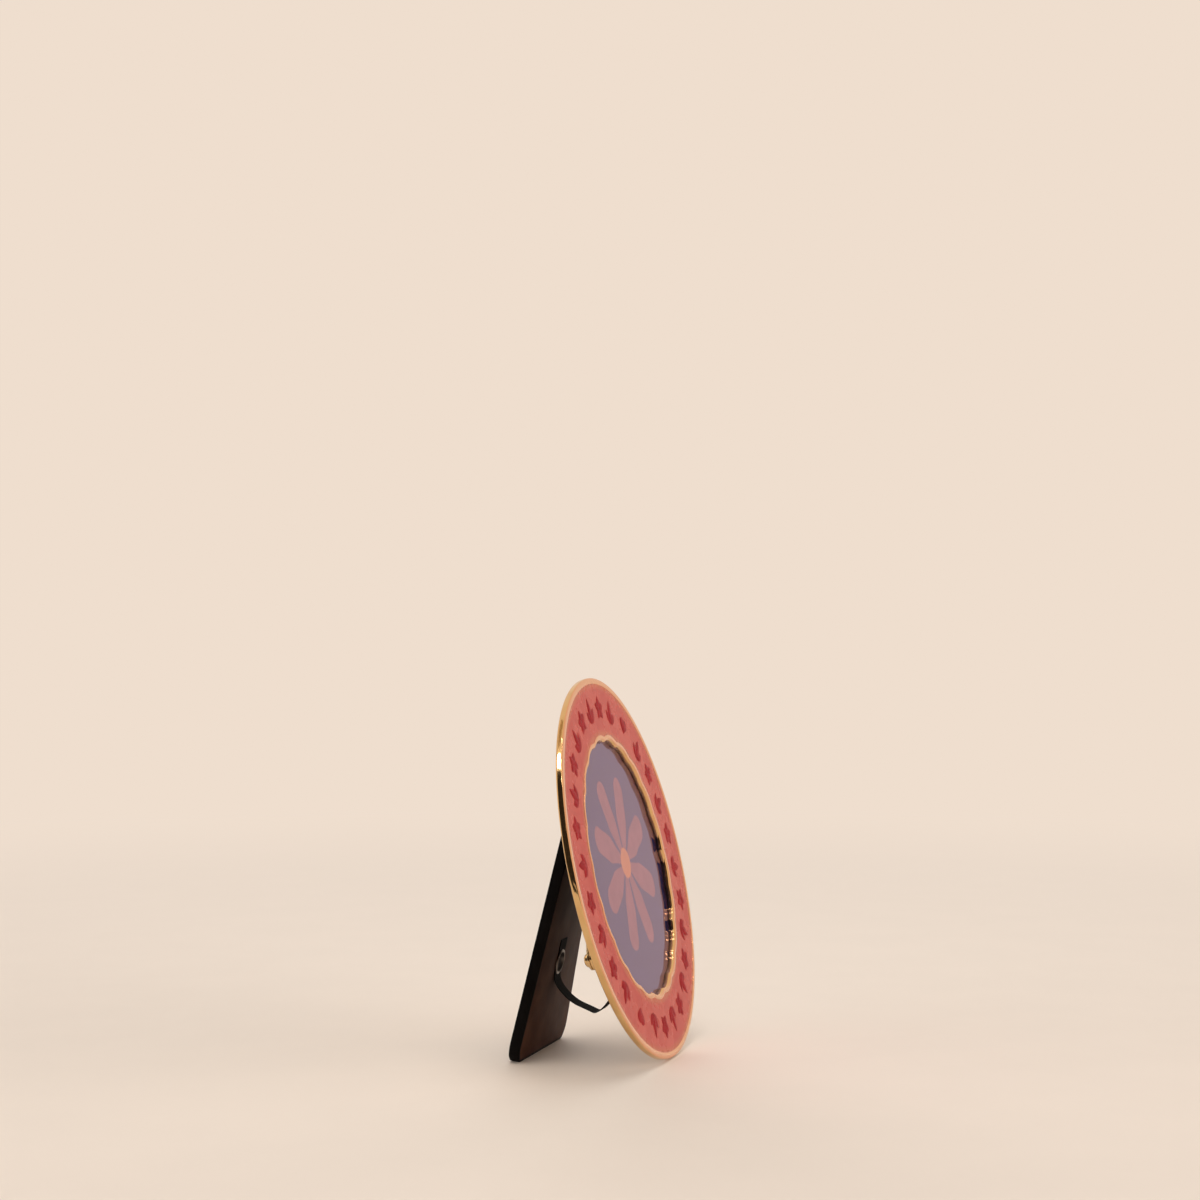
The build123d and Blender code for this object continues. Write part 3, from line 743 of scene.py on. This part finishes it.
ribbonPlaces = smoothRoute(stayRibbon["route"])
ribbonStay = strip("ribbonStay", ribbonPlaces, stayRibbon)
ribbonLength = sum((b - a).length for a, b in zip(ribbonPlaces, ribbonPlaces[1:]))
print("ribbon's free length", round(ribbonLength, 4))
done(ribbonStay, blackRibbon, "black_ribbon", "frame", "ribbon")
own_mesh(ribbonStay)
for name, body in (("boardTail", "frame"), ("strutTail", "strut")):
    tail = strip(name, stayRibbon[name], stayRibbon)
    eyeletAt, lie = stayRibbon["holes"][name]
    deselectAll()
    bpy.ops.mesh.primitive_cylinder_add(
        vertices=48, radius=stayRibbon["hole"], depth=stayRibbon["punch"],
        location=eyeletAt, rotation=(radians(lie), 0, 0),
    )
    cutBy(tail, bpy.context.object)
    done(tail, blackRibbon, "black_ribbon", body)
print("ribbon laid")


rimSizes = {
    "outside": 60.0,
    "plate": 2.3,
    "lipOuter": 58.0,
    "lipInner": 41.5,
    "opening": 39.7,
    "channel": 0.8,
    "ledge": 1.9,
    "rebate": 43.0,
    "wall": 45.5,
    "depth": 5.4,
    "waves": 21,
    "waveHeight": 0.45,
    "waveStart": 105.0,
    "stepsPerWave": 16,
    "cuspFrom": 0.88,
    # Corner of the section, width and steps of its rounding
    "soften": [
        (0, 0.9, 6), (1, 0.2, 2), (4, 0.2, 2), (5, 0.5, 4), (6, 0.9, 6), (7, 0.6, 4),
        (8, 0.4, 3), (9, 0.3, 3), (11, 0.15, 2),
    ],
}
ringSteps = rimSizes["waves"] * rimSizes["stepsPerWave"]
bossSizes = {
    # Radius and height of the post's section, from its top to its flared root on the plate
    "post": [
        (0.0, -5.4), (2.9, -5.4), (3.1, -5.33), (3.2, -5.15),
        (3.2, -2.95), (3.3, -2.65), (3.6, -2.4), (4.1, -2.28), (0.0, -2.28),
    ],
    # The web towards the back wall: its size and its middle
    "web": ((5.0, 3.2, 3.1), (-2.5, 0, -3.8)),
    "edge": 0.35,
}
buttonRing = {"radius": 49.494, "angles": (87.0, -33.0, -153.0), "turns": (6.0, -12.0, 35.0)}


def waveOffset(phase):
    # How far the wavy edge stands out at this share of a wave, crest in the middle, cusp softened
    rise = abs(2 * phase - 1)
    start = rimSizes["cuspFrom"]
    if rise <= start:
        return rimSizes["waveHeight"] * (1 - 2 * rise * rise)
    past = rise - start
    slope = -4 * rimSizes["waveHeight"] * start
    level = rimSizes["waveHeight"] * (1 - 2 * start * start)
    return level + slope * past * (1 - past / (2 * (1 - start)))


def makeWavy(piece, within):
    # Moves the columns of the ring's inner edge in and out, one phase of the waves at a time
    perWave = rimSizes["stepsPerWave"]
    first = round(rimSizes["waveStart"] / 360 * ringSteps)
    middle = (rimSizes["opening"] + rimSizes["lipInner"]) / 2
    editMode(piece, "VERT")
    for phase in range(perWave // 2 + 1):
        def inPhase(co):
            if co.xy.length > within:
                return False
            column = round(Vector((1, 0)).angle_signed(co.xy) / (2 * pi) * -ringSteps)
            return (column - first) % perWave in (phase, (perWave - phase) % perWave)
        pickVertices(piece, inPhase)
        factor = 1 + waveOffset(phase / perWave) / middle
        bpy.ops.transform.resize(value=(factor, factor, 1), center_override=(0, 0, 0))
    objectMode()


def buildRim():
    z = rimSizes
    section = [
        (z["opening"], 0.0), (z["lipInner"], 0.0), (z["lipInner"], -z["channel"]),
        (z["lipOuter"], -z["channel"]), (z["lipOuter"], 0.0), (z["outside"], 0.0),
        (z["outside"], -z["plate"]), (z["wall"], -z["plate"]), (z["wall"], -z["depth"]),
        (z["rebate"], -z["depth"]), (z["rebate"], -z["ledge"]), (z["opening"], -z["ledge"]),
    ]
    casting = spunRing("rimCasting", section, ringSteps, z["soften"])
    makeWavy(casting, z["lipInner"] + 0.01)
    post = spunRing("boss", bossSizes["post"], 48)
    web = block(*bossSizes["web"])
    roundEdges(web, bossSizes["edge"])
    boss = joinAll([post, web], "boss")
    movedTo(boss, buttonRing["radius"], 0)
    bosses = [movedTo(copyOf(boss, "boss"), 0, 0, 0, turn) for turn in buttonRing["angles"]]
    discard(boss)
    return joinAll([casting, *bosses], "rimCasting")


fitted(buildRim(), onDisc, giltBrass, "gilt_brass", "frame", "rim")
print("rim cast")


enamelSizes = {
    # The enamel climbs a little on both lips. Radius and height, round the section
    "section": [
        (41.2, -0.7), (41.2, -0.05), (41.5, -0.095), (41.85, -0.13), (42.4, -0.15),
        (57.1, -0.15), (57.65, -0.13), (58.0, -0.095), (58.3, -0.05), (58.3, -0.7),
    ],
    "waveWithin": 42.45,
}
inlaySizes = {
    "ring": 50.163,
    "top": -0.03,
    "round": 0.09,
    "wall": 0.06,
    "leaf": (7.92, 2.81),
    "sideLeaf": (5.49, 2.81),
    "sideTurn": 40.0,
    "petal": (3.88, 2.64),
    "petals": 5,
    # How much lower each overlapping leaf or petal lies
    "leafStep": 0.01,
    "petalStep": 0.004,
    "heart": 3.514,
    "heartAngle": 59.0,
    "first": 44.0,
    "pitch": 12.5,
}


def flatFigure(points):
    # A filled outline of four points, each with its two handles, with a rounded edge
    deselectAll()
    bpy.ops.curve.primitive_bezier_circle_add(radius=1)
    figure = bpy.context.object
    outline = figure.data
    outline.dimensions = "2D"
    outline.fill_mode = "BOTH"
    outline.resolution_u = 6
    for control, (place, before, after) in zip(outline.splines[0].bezier_points, points):
        control.handle_left_type = control.handle_right_type = "FREE"
        control.co = (*place, 0)
        control.handle_left = (*before, 0)
        control.handle_right = (*after, 0)
    outline.extrude = inlaySizes["wall"]
    outline.bevel_depth = inlaySizes["round"]
    outline.bevel_resolution = 2
    outline.offset = -inlaySizes["round"]
    bpy.ops.object.convert(target="MESH")
    editMode(figure, "VERT")
    weld()
    return movedTo(figure, 0, 0, inlaySizes["top"] - inlaySizes["wall"] - inlaySizes["round"])


def blade(size):
    # A pointed oval from its root at 0 out along X
    length, width = size
    reach, rise = length * 0.24, width * 0.36
    return flatFigure([
        ((0, 0), (reach, -rise), (reach, rise)),
        ((length / 2, width / 2), (length * 0.34, width / 2), (length * 0.66, width / 2)),
        ((length, 0), (length - reach, rise), (length - reach, -rise)),
        ((length / 2, -width / 2), (length * 0.66, -width / 2), (length * 0.34, -width / 2)),
    ])


def sprig():
    length = inlaySizes["leaf"][0]
    leaves = [blade(inlaySizes["leaf"])]
    for turn in (inlaySizes["sideTurn"], -inlaySizes["sideTurn"]):
        side = blade(inlaySizes["sideLeaf"])
        leaves.append(movedTo(side, 0, 0, -inlaySizes["leafStep"], turn))
    return movedTo(joinAll(leaves, "sprig"), -length / 2, 0)


def blossom():
    petal = blade(inlaySizes["petal"])
    lower, turn = -inlaySizes["petalStep"], 360 / inlaySizes["petals"]
    petals = [
        movedTo(copyOf(petal, "petal"), 0, 0, k * lower, k * turn)
        for k in range(inlaySizes["petals"])
    ]
    discard(petal)
    return joinAll(petals, "blossom")


def heart():
    side = inlaySizes["heart"]
    tip, lobe = side * 0.707, side * 0.854
    return flatFigure([
        ((-tip, 0), (-tip * 0.62, -tip * 0.38), (-tip * 0.62, tip * 0.38)),
        ((lobe * 0.42, lobe), (-lobe * 0.08, lobe), (lobe * 0.80, lobe)),
        ((tip * 0.98, 0), (lobe * 1.14, lobe * 0.30), (lobe * 1.14, -lobe * 0.30)),
        ((lobe * 0.42, -lobe), (lobe * 0.80, -lobe), (-lobe * 0.08, -lobe)),
    ])


def ringOf(name, figure, degreesList):
    movedTo(figure, inlaySizes["ring"], 0)
    copies = [movedTo(copyOf(figure, name), 0, 0, 0, degrees) for degrees in degreesList]
    discard(figure)
    ring = joinAll(copies, name)
    standUp(ring, onDisc)
    smooth(ring, 50)
    return ring


enamel = spunRing("enamelBand", enamelSizes["section"], ringSteps)
makeWavy(enamel, enamelSizes["waveWithin"])
fitted(enamel, onDisc, pinkEnamel, "red_enamel", "frame", "enamel")
step = 2 * inlaySizes["pitch"]
halves = (0, 180)
rows = {
    "leafInlays": (sprig, 7, inlaySizes["first"], "leaf_inlays"),
    "blossomInlays": (blossom, 6, inlaySizes["first"] - inlaySizes["pitch"], "blossom_inlays"),
    "heartInlays": (heart, 1, inlaySizes["heartAngle"], "heart_inlays"),
}
for name, (shape, count, first, node) in rows.items():
    places = [first + half - k * step for half in halves for k in range(count)]
    done(ringOf(name, shape(), places), darkRedEnamel, "dark_red_enamel", "frame", node)
print("enamel filled")


# Glass, card, board and paper lie one behind the other in the rebate
stackSizes = {
    # Radius, front, thickness and edge of each layer. The pane is thinner than the real one,
    # because it doesn't bend the light, and a real pane lifts the card behind it
    "glassPane": (42.65, -1.91, 0.30, 0.10),
    "printedSheet": (42.65, -2.22, 0.37, 0.05),
    "backingBoard": (42.65, -2.60, 2.49, 0.20),
    "backSheet": (42.65, -5.10, 0.30, 0.10),
    "flatTo": 0.8,
    "hole": 2.95,
    "eyelet": (0.0, -26.0),
}


def layer(name, finish, slotName, node, drilled):
    radius, front, thick, edge = stackSizes[name]
    sheet = flatDisc(name, radius, front, 192)
    editMode(sheet)
    selectAll()
    # A narrow ring keeps the shading of the middle flat up to the softened edge
    bpy.ops.mesh.inset(thickness=stackSizes["flatTo"])
    thicken(-thick)
    faceOut()
    roundEdges(sheet, edge, 3, 50)
    if drilled:
        drill(sheet, *stackSizes["eyelet"], stackSizes["hole"])
    fitted(sheet, onDisc, finish, slotName, "frame", node)


layer("glassPane", paneGlass, "pane_glass", "glass_pane", False)
layer("printedSheet", printedFace, "printed_card", "printed_card", False)
layer("backingBoard", greyBoard, "greyboard", "backing_board", True)
layer("backSheet", papers["backPaper"], "dark_paper", "backing_paper", True)
print("glazed and closed")


buttonSizes = {
    "root": 3.0,
    "tip": 2.0,
    "reach": 8.0,
    "front": -5.5,
    "thick": 0.8,
    "edge": 0.22,
    "tangent": 82.82,
}
screwSizes = {
    "head": [
        (0.0, -7.8), (0.8, -7.77), (1.35, -7.64), (1.75, -7.36), (1.96, -6.98), (2.0, -6.5),
        (1.92, -6.4), (1.2, -6.4), (1.2, -5.0), (0.0, -5.0),
    ],
    "slot": (5.0, 0.6, 0.5),
    "slotTurn": 30.0,
    "edge": 0.05,
}


def turnButton():
    # A round blank whose far side is drawn in and out to the tip, then thickened
    z = buttonSizes
    blank = flatDisc("turnButton", z["root"], z["front"], 72)
    editMode(blank, "VERT")
    nearest = z["root"] * cos(radians(z["tangent"]))
    pickVertices(blank, lambda co: co.x > nearest)
    share = z["tip"] / z["root"]
    bpy.ops.transform.resize(value=(share, share, 1), center_override=(0, 0, z["front"]))
    bpy.ops.transform.translate(value=(z["reach"], 0, 0))
    thicken(-z["thick"])
    faceOut()
    roundEdges(blank, z["edge"], 3, 50)
    return blank


def slottedScrew():
    screw = spunRing("screw", screwSizes["head"], 48)
    length, width, deep = screwSizes["slot"]
    cutBy(screw, block((length, width, 2 * deep), (0, 0, screwSizes["head"][0][1])))
    roundEdges(screw, screwSizes["edge"], 2, 45)
    return movedTo(screw, 0, 0, 0, screwSizes["slotTurn"])


button = turnButton()
screw = slottedScrew()
screws = []
for number, (degrees, turn) in enumerate(zip(buttonRing["angles"], buttonRing["turns"]), 1):
    x, y = (buttonRing["radius"] * flatDirection(degrees)).xy
    name = f"turn_button_{number}"
    turned = movedTo(copyOf(button, f"turnButton{number}"), x, y, 0, degrees + 180 + turn)
    fitted(turned, onDisc, metals["sheetBrass"], "sheet_brass", name, name)
    screws.append(movedTo(copyOf(screw, "screw"), x, y, 0, degrees))
discard(button)
discard(screw)
screws = joinAll(screws, "slottedScrews")
fitted(screws, onDisc, metals["screwBrass"], "screw_brass", "frame", "button_screws")
print("buttons screwed on")


hingeSizes = {
    "height": 24.994,
    "pinDepth": 8.0,
    "bore": 1.7,
    "boardSheet": 0.9,
    "strutSheet": 0.6,
    "width": 22.0,
    "boardLeaf": 13.0,
    "boardRoll": 330,
    "strutRoll": 335,
    "corner": 2.0,
    "notch": (8.4, 5.0, 8.0),
    "middle": 8.0,
    # Width, near end, far end and far corners of the plates that make the strut's leaf
    "strutLeaf": (17.0, 3.3, 17.0, 2.0),
    "neck": (8.0, 0.0, 5.3, 0.3),
    "tongue": (6.0, 0.3, -7.43, 1.0),
    "leafEdges": (0.1, 0.08),
    "pin": (1.6, 23.0, 0.45),
    "rivet": 1.8,
    "boardRivets": [(-7.0, 33.994), (7.0, 33.994)],
    "strutRivets": [(-4.5, 11.0), (4.5, 11.0)],
    # Height of each face that rivets are headed on, and the rise of their heads
    "boardFace": (-6.3, -0.6),
    "outerFace": (2.3, 0.6),
    "innerFace": (-1.2, -0.35),
}


def rolledSheet(width, thick, bore, turn):
    # The end of a sheet, swept round the pin: the axis is X through 0, and it starts on top
    deselectAll()
    bpy.ops.mesh.primitive_plane_add(
        size=1, location=(0, 0, bore + thick / 2), rotation=(pi / 2, 0, 0)
    )
    roll = justAdded("roll", (width, thick, 1))
    editMode(roll)
    selectAll()
    bpy.ops.mesh.spin(steps=36, angle=radians(turn), center=(0, 0, 0), axis=(1, 0, 0))
    objectMode()
    return roll


def roundedPlate(z, thick, width, fromY, toY, corner, bothEnds=False):
    # A plate with rounded corners at its far end, or at both ends
    deselectAll()
    bpy.ops.mesh.primitive_plane_add(size=1, location=(0, (fromY + toY) / 2, z))
    plate = justAdded("plate", (width, abs(toY - fromY), 1))
    editMode(plate, "VERT")
    pickVertices(plate, lambda co: bothEnds or abs(co.y - toY) < 0.01)
    bpy.ops.mesh.bevel(offset=corner, segments=6, affect="VERTICES")
    thicken(thick)
    faceOut()
    return plate


def rivetHeads(name, places, base, rise):
    # Domed heads on a face at this height, one per place
    radius = hingeSizes["rivet"]
    section = [
        (0.0, rise), (radius * 0.4, rise * 0.94), (radius * 0.72, rise * 0.72),
        (radius * 0.93, rise * 0.38), (radius, 0.0), (0.0, 0.0),
    ]
    head = spunRing(name, section, 40)
    heads = [movedTo(copyOf(head, name), x, y, base) for x, y in places]
    discard(head)
    return heads


z = hingeSizes
roll = rolledSheet(z["width"], z["boardSheet"], z["bore"], z["boardRoll"])
plate = roundedPlate(z["bore"], z["boardSheet"], z["width"], 0.0, z["boardLeaf"], z["corner"])
boardLeaf = joinAll([roll, plate], "boardLeaf")
cutBy(boardLeaf, block(z["notch"]), use_self=True)
roundEdges(boardLeaf, z["leafEdges"][0], 2, 50)
movedTo(boardLeaf, 0, z["height"], -z["pinDepth"])
fitted(boardLeaf, onDisc, metals["hingeSteel"], "steel", "frame", "hinge_board_leaf")

pinRadius, pinLength, pinEdge = z["pin"]
deselectAll()
bpy.ops.mesh.primitive_cylinder_add(
    vertices=48, radius=pinRadius, depth=pinLength, rotation=(0, pi / 2, 0),
    location=(0, z["height"], -z["pinDepth"]),
)
pin = justAdded("hingePin")
roundEdges(pin, pinEdge, 4, 50)
fitted(pin, onDisc, metals["hingeSteel"], "steel", "frame", "hinge_pin")

heads = joinAll(rivetHeads("boardRivets", z["boardRivets"], *z["boardFace"]), "boardRivets")
fitted(heads, onDisc, metals["nickel"], "nickel", "frame", "hinge_board_rivets")

sheet = (z["bore"], z["strutSheet"])
plates = [
    roundedPlate(*sheet, *z["strutLeaf"], bothEnds=True),
    roundedPlate(*sheet, *z["neck"]),
    roundedPlate(*sheet, *z["tongue"]),
]
for plate in plates:
    roundEdges(plate, z["leafEdges"][1], 2, 50)
roll = rolledSheet(z["middle"], z["strutSheet"], z["bore"], z["strutRoll"])
strutLeaf = joinAll([roll, *plates], "strutLeaf")
fitted(strutLeaf, onStrut, metals["hingeSteel"], "steel", "strut", "hinge_strut_leaf")

heads = rivetHeads("strutRivets", z["strutRivets"], *z["outerFace"])
heads += rivetHeads("strutRivets", z["strutRivets"], *z["innerFace"])
heads = joinAll(heads, "strutRivets")
fitted(heads, onStrut, metals["nickel"], "nickel", "strut", "hinge_strut_rivets")
print("hinge made")


# The strut is a board wrapped in black paper, with a brown lining inside
strutSizes = {
    "top": (14.0, 3.3, 1.73),
    "foot": (25.5, 83.559, 6.93),
    "inner": -1.2,
    "outer": 2.3,
    "floorAt": 83.066,
    "edge": 0.45,
    # Inset, how far it stands proud of the cover, thickness and edge
    "lining": (0.8, 0.03, 0.2, 0.02),
    # Width, foot and depth of the bed that the hinge leaf lies in, and how far it runs out on top
    "bed": (17.1, 17.05, 0.6, 10.0),
    "eyelet": (0.0, 54.008),
    "hole": 3.4,
}


def strutBlank(name, z, inset, thick, lift):
    look = strutSizes
    halfTop, top, softTop = look["top"]
    halfFoot, foot, softFoot = look["foot"]
    deselectAll()
    bpy.ops.mesh.primitive_plane_add(size=2, location=(0, (top + foot) / 2, z))
    blank = justAdded(name, (halfFoot, (foot - top) / 2, 1))
    editMode(blank, "VERT")
    pickVertices(blank, lambda co: co.y < top + 1)
    bpy.ops.transform.resize(value=(halfTop / halfFoot, 1, 1), center_override=(0, top, z))
    bpy.ops.mesh.bevel(offset=softTop, segments=6, affect="VERTICES")
    pickVertices(blank, lambda co: co.y > foot - 0.01)
    bpy.ops.mesh.bevel(offset=softFoot, segments=12, affect="VERTICES")
    bpy.ops.mesh.select_mode(type="FACE")
    selectAll()
    if inset:
        bpy.ops.mesh.inset(thickness=inset)
        bpy.ops.mesh.select_all(action="INVERT")
        bpy.ops.mesh.delete(type="FACE")
    thicken(thick)
    selectAll()
    leanBack = radians(stand["strutLean"])
    up = Vector((0, -cos(leanBack), sin(leanBack)))
    base = Vector((0, look["floorAt"], 0)) + lift * up
    bpy.ops.mesh.bisect(plane_co=base, plane_no=up, use_fill=True, clear_inner=True)
    faceOut()
    return blank


z = strutSizes
strutCover = strutBlank("strutCover", z["inner"], 0, z["outer"] - z["inner"], 0.0)
roundEdges(strutCover, z["edge"], 4, 50)
width, foot, deep, over = z["bed"]
cutBy(strutCover, block((width, foot + over, 2 * deep), (0, (foot - over) / 2, z["outer"])))
drill(strutCover, *z["eyelet"], z["hole"])
cover = papers["blackPaper"]
fitted(strutCover, onStrut, cover, "dark_paper", "strut", "strut_cover", "strut_core")

inset, proud, thick, edge = z["lining"]
strutLining = strutBlank("strutLining", z["inner"] - proud, inset, thick, inset)
roundEdges(strutLining, edge, 2, 50)
drill(strutLining, *z["eyelet"], z["hole"])
fitted(strutLining, onStrut, papers["liningPaper"], "lining_paper", "strut", "strut_lining")
print("strut covered")


eyeletSizes = {
    "flange": 4.0,
    "roll": 3.8,
    "rise": 0.35,
    # Bore, barrel, and the heights that the flange and the rolled end lie on
    "strutEyelet": (3.1, 3.35, -1.45, 2.3),
    "boardEyelet": (2.5, 2.9, -5.65, -3.5),
}


def eyelet(name):
    bore, barrel, face, rollFace = eyeletSizes[name]
    flange, roll = eyeletSizes["flange"], eyeletSizes["roll"]
    out = eyeletSizes["rise"] * (1 if face > rollFace else -1)
    return spunRing(name, [
        (bore, face), (bore + 0.08, face + 0.55 * out), (bore + 0.25, face + 0.9 * out),
        (bore + 0.45, face + out), (flange - 0.3, face + 0.85 * out),
        (flange - 0.05, face + 0.5 * out), (flange, face + 0.15 * out), (flange - 0.1, face),
        (barrel, face), (barrel, rollFace), (roll - 0.08, rollFace),
        (roll, rollFace - 0.35 * out), (roll - 0.12, rollFace - 0.75 * out),
        (roll - 0.3, rollFace - out), (bore + 0.25, rollFace - 0.95 * out),
        (bore + 0.08, rollFace - 0.6 * out), (bore, rollFace),
    ], 64)


# Both eyelets take the darker nickel, whose colour is painted shade for their bores
strutEyelet = movedTo(eyelet("strutEyelet"), *strutSizes["eyelet"])
fitted(strutEyelet, onStrut, metals["shadedNickel"], "nickel", "strut", "strut_eyelet")
boardEyelet = movedTo(eyelet("boardEyelet"), *stackSizes["eyelet"])
fitted(boardEyelet, onDisc, metals["shadedNickel"], "nickel", "frame", "board_eyelet")
print("eyelets set")


studio = {
    "floorColor": (0.860, 0.738, 0.631),
    "floorRadius": 6,
    "speckle": 0.985,
    # Distances over which the floor turns into the colour of the backdrop
    "floorFade": (0.16, 0.9),
    "skyColor": (0.862, 0.730, 0.617),
    # The light of the room comes in low, most of it through the bright far side: the height
    # (as a sine) where it fades out, the azimuth and strength of each brighter side, and the
    # cosines between which such a side fades in
    "lowSky": (0.30, 0.60),
    "lowLight": 0.9,
    "brightSides": {15: 6.0, 270: 3.2, 135: 1.8},
    "sideFade": (0.70, 0.95),
    "roomColor": (1.0, 0.975, 0.95),
    "lampColor": (1.0, 0.96, 0.91),
    "middle": Vector((0, 0, 0.06)),
    # Azimuth and elevation from the frame of a lamp's two ends, height, width and power
    "softboxes": {
        "keySoftbox": (((205, 57), (25, 72)), 1.2, 0.9, 7.8),
    },
    "glints": {
        "ceilingStrip": (((101.3, 40.5), (135.8, 63.3)), 1.0, 0.22, 5.8),
        "outerTube": (((169.9, 60.4), (228, 56)), 1.0, 0.014, 0.42),
        "innerTube": (((162.6, 71.5), (246.3, 61.4)), 1.0, 0.014, 0.42),
        "overheadTube": (((111.8, 80.8), (272.9, 68.2)), 1.0, 0.014, 0.42),
    },
    "cards": {
        # The dark room that the polished metal mirrors: azimuth and elevation, from and to
        "darkRoom": ((122, 228), (-9, 62)),
        "darkCorner": ((108, 122), (-9, 48)),
        "brownWall": ((70, 108), (25, 38)),
        "mottledWall": ((60, 100), (53, 66)),
        "paleShelf": ((186, 194), (31, 37)),
        "paleBox": ((188, 195), (15, 18)),
    },
    "cardsFar": 1.0,
    "paleCardsFar": 0.97,
    "darkTable": {"az": 140, "from": 0.36, "size": (0.56, 0.7), "lift": 0.002},
}


world = bpy.data.worlds.new("paleRoom")
bpy.context.scene.world = world
world.use_nodes = True
tree = world.node_tree
rays = tree.nodes.new("ShaderNodeLightPath")
seen = maths(
    "MAXIMUM", rays.outputs["Is Camera Ray"],
    maths("MAXIMUM", rays.outputs["Is Glossy Ray"], rays.outputs["Is Transmission Ray"]),
)
background = tree.nodes["Background"]
feed(background.inputs["Color"], (*studio["skyColor"], 1.0))
toward = tree.nodes.new("ShaderNodeTexCoord").outputs["Generated"]
rise = partsOf(toward)[2]
low = spread(rise, *studio["lowSky"], 1.0, 0.0, True)
light = studio["lowLight"]
for az, strength in studio["brightSides"].items():
    facing = vectorMaths("DOT_PRODUCT", toward, flatDirection(az), "Value")
    light = added(light, spread(facing, *studio["sideFade"], 0.0, strength, True))
roomLight = addNode(tree, "ShaderNodeBackground", {
    "Color": (*studio["roomColor"], 1.0), "Strength": times(light, low),
})
showMix(tree, seen, roomLight, background, "World Output")

floor = flatDisc("floor", studio["floorRadius"], 0, 96)
floorPaint, tree, shader = newFinish("floorPaint")
coords = plainCoords(tree)
speckle = spread(noise(coords, 30, 3.0), 0.3, 0.7)
darker = tuple(studio["speckle"] * part for part in studio["floorColor"])
coat(shader, blended(speckle, studio["floorColor"], darker), 0.8, 0.1)
away = vectorMaths("LENGTH", coords, output="Value")
glow = addNode(tree, "ShaderNodeEmission", {"Color": (*studio["skyColor"], 1.0), "Strength": 1.0})
showMix(tree, spread(away, *studio["floorFade"], soft=True), shader, glow)
dress(floor, floorPaint)

for name, (places, high, width, power) in {**studio["softboxes"], **studio["glints"]}.items():
    ends = [high / tan(radians(el)) * flatDirection(az) for az, el in places]
    along = ends[1] - ends[0]
    lampData = bpy.data.lights.new(name, "AREA")
    lampData.shape = "RECTANGLE"
    lampData.size = along.length
    lampData.size_y = width
    lampData.energy = power
    lampData.color = studio["lampColor"]
    lamp = bpy.data.objects.new(name, lampData)
    lamp.location = studio["middle"] + (ends[0] + ends[1]) / 2 + Vector((0, 0, high))
    lamp.rotation_euler = (0, 0, -Vector((1, 0)).angle_signed(along.xy))
    lamp.visible_glossy = name in studio["glints"]
    lamp.visible_diffuse = name in studio["softboxes"]
    bpy.context.collection.objects.link(lamp)


def cardFinish(name, dark, pale, low, high):
    material, tree, shader = newFinish(name)
    tone = spread(noise(plainCoords(tree), 14, 3.0), low, high)
    coat(shader, blended(tone, dark, pale), 1.0, 0.0)
    return material


def onlyMirrored(card, name, finish):
    card.name = name
    applyPlace(card)
    dress(card, finish)
    for sight in ("camera", "diffuse", "shadow", "transmission"):
        setattr(card, f"visible_{sight}", False)


cardPaint = cardFinish("cardPaint", (0.012, 0.010, 0.009), (0.02, 0.016, 0.014), 0.3, 0.7)
mottledPaint = cardFinish("mottledPaint", (0.16, 0.11, 0.06), (0.62, 0.50, 0.34), 0.40, 0.62)
for name, (turns, rises) in studio["cards"].items():
    far = studio["paleCardsFar" if name.startswith("pale") else "cardsFar"]
    low, high = [studio["middle"].z + far * tan(radians(rise)) for rise in rises]
    deselectAll()
    bpy.ops.mesh.primitive_cylinder_add(
        vertices=180, radius=far, depth=high - low, end_fill_type="NOTHING",
        location=(0, 0, (low + high) / 2),
    )
    card = bpy.context.object
    first, last = turns
    straight = flatDirection((first + last) / 2)
    reach = far * cos(radians((last - first) / 2)) - 1e-4
    editMode(card, "VERT")
    pickVertices(card, lambda co: co.dot(straight) < reach)
    bpy.ops.mesh.delete(type="VERT")
    objectMode()
    onlyMirrored(card, name, cardPaint if name.startswith("dark") else mottledPaint)

table = studio["darkTable"]
away = (table["from"] + table["size"][0] / 2) * flatDirection(table["az"])
deselectAll()
bpy.ops.mesh.primitive_plane_add(
    size=1, location=(away.x, away.y, table["lift"]), rotation=(0, 0, radians(table["az"]))
)
card = bpy.context.object
card.scale = (*table["size"], 1)
onlyMirrored(card, "darkTable", cardPaint)
bpy.context.scene.view_settings.view_transform = "Standard"
print("studio lit")
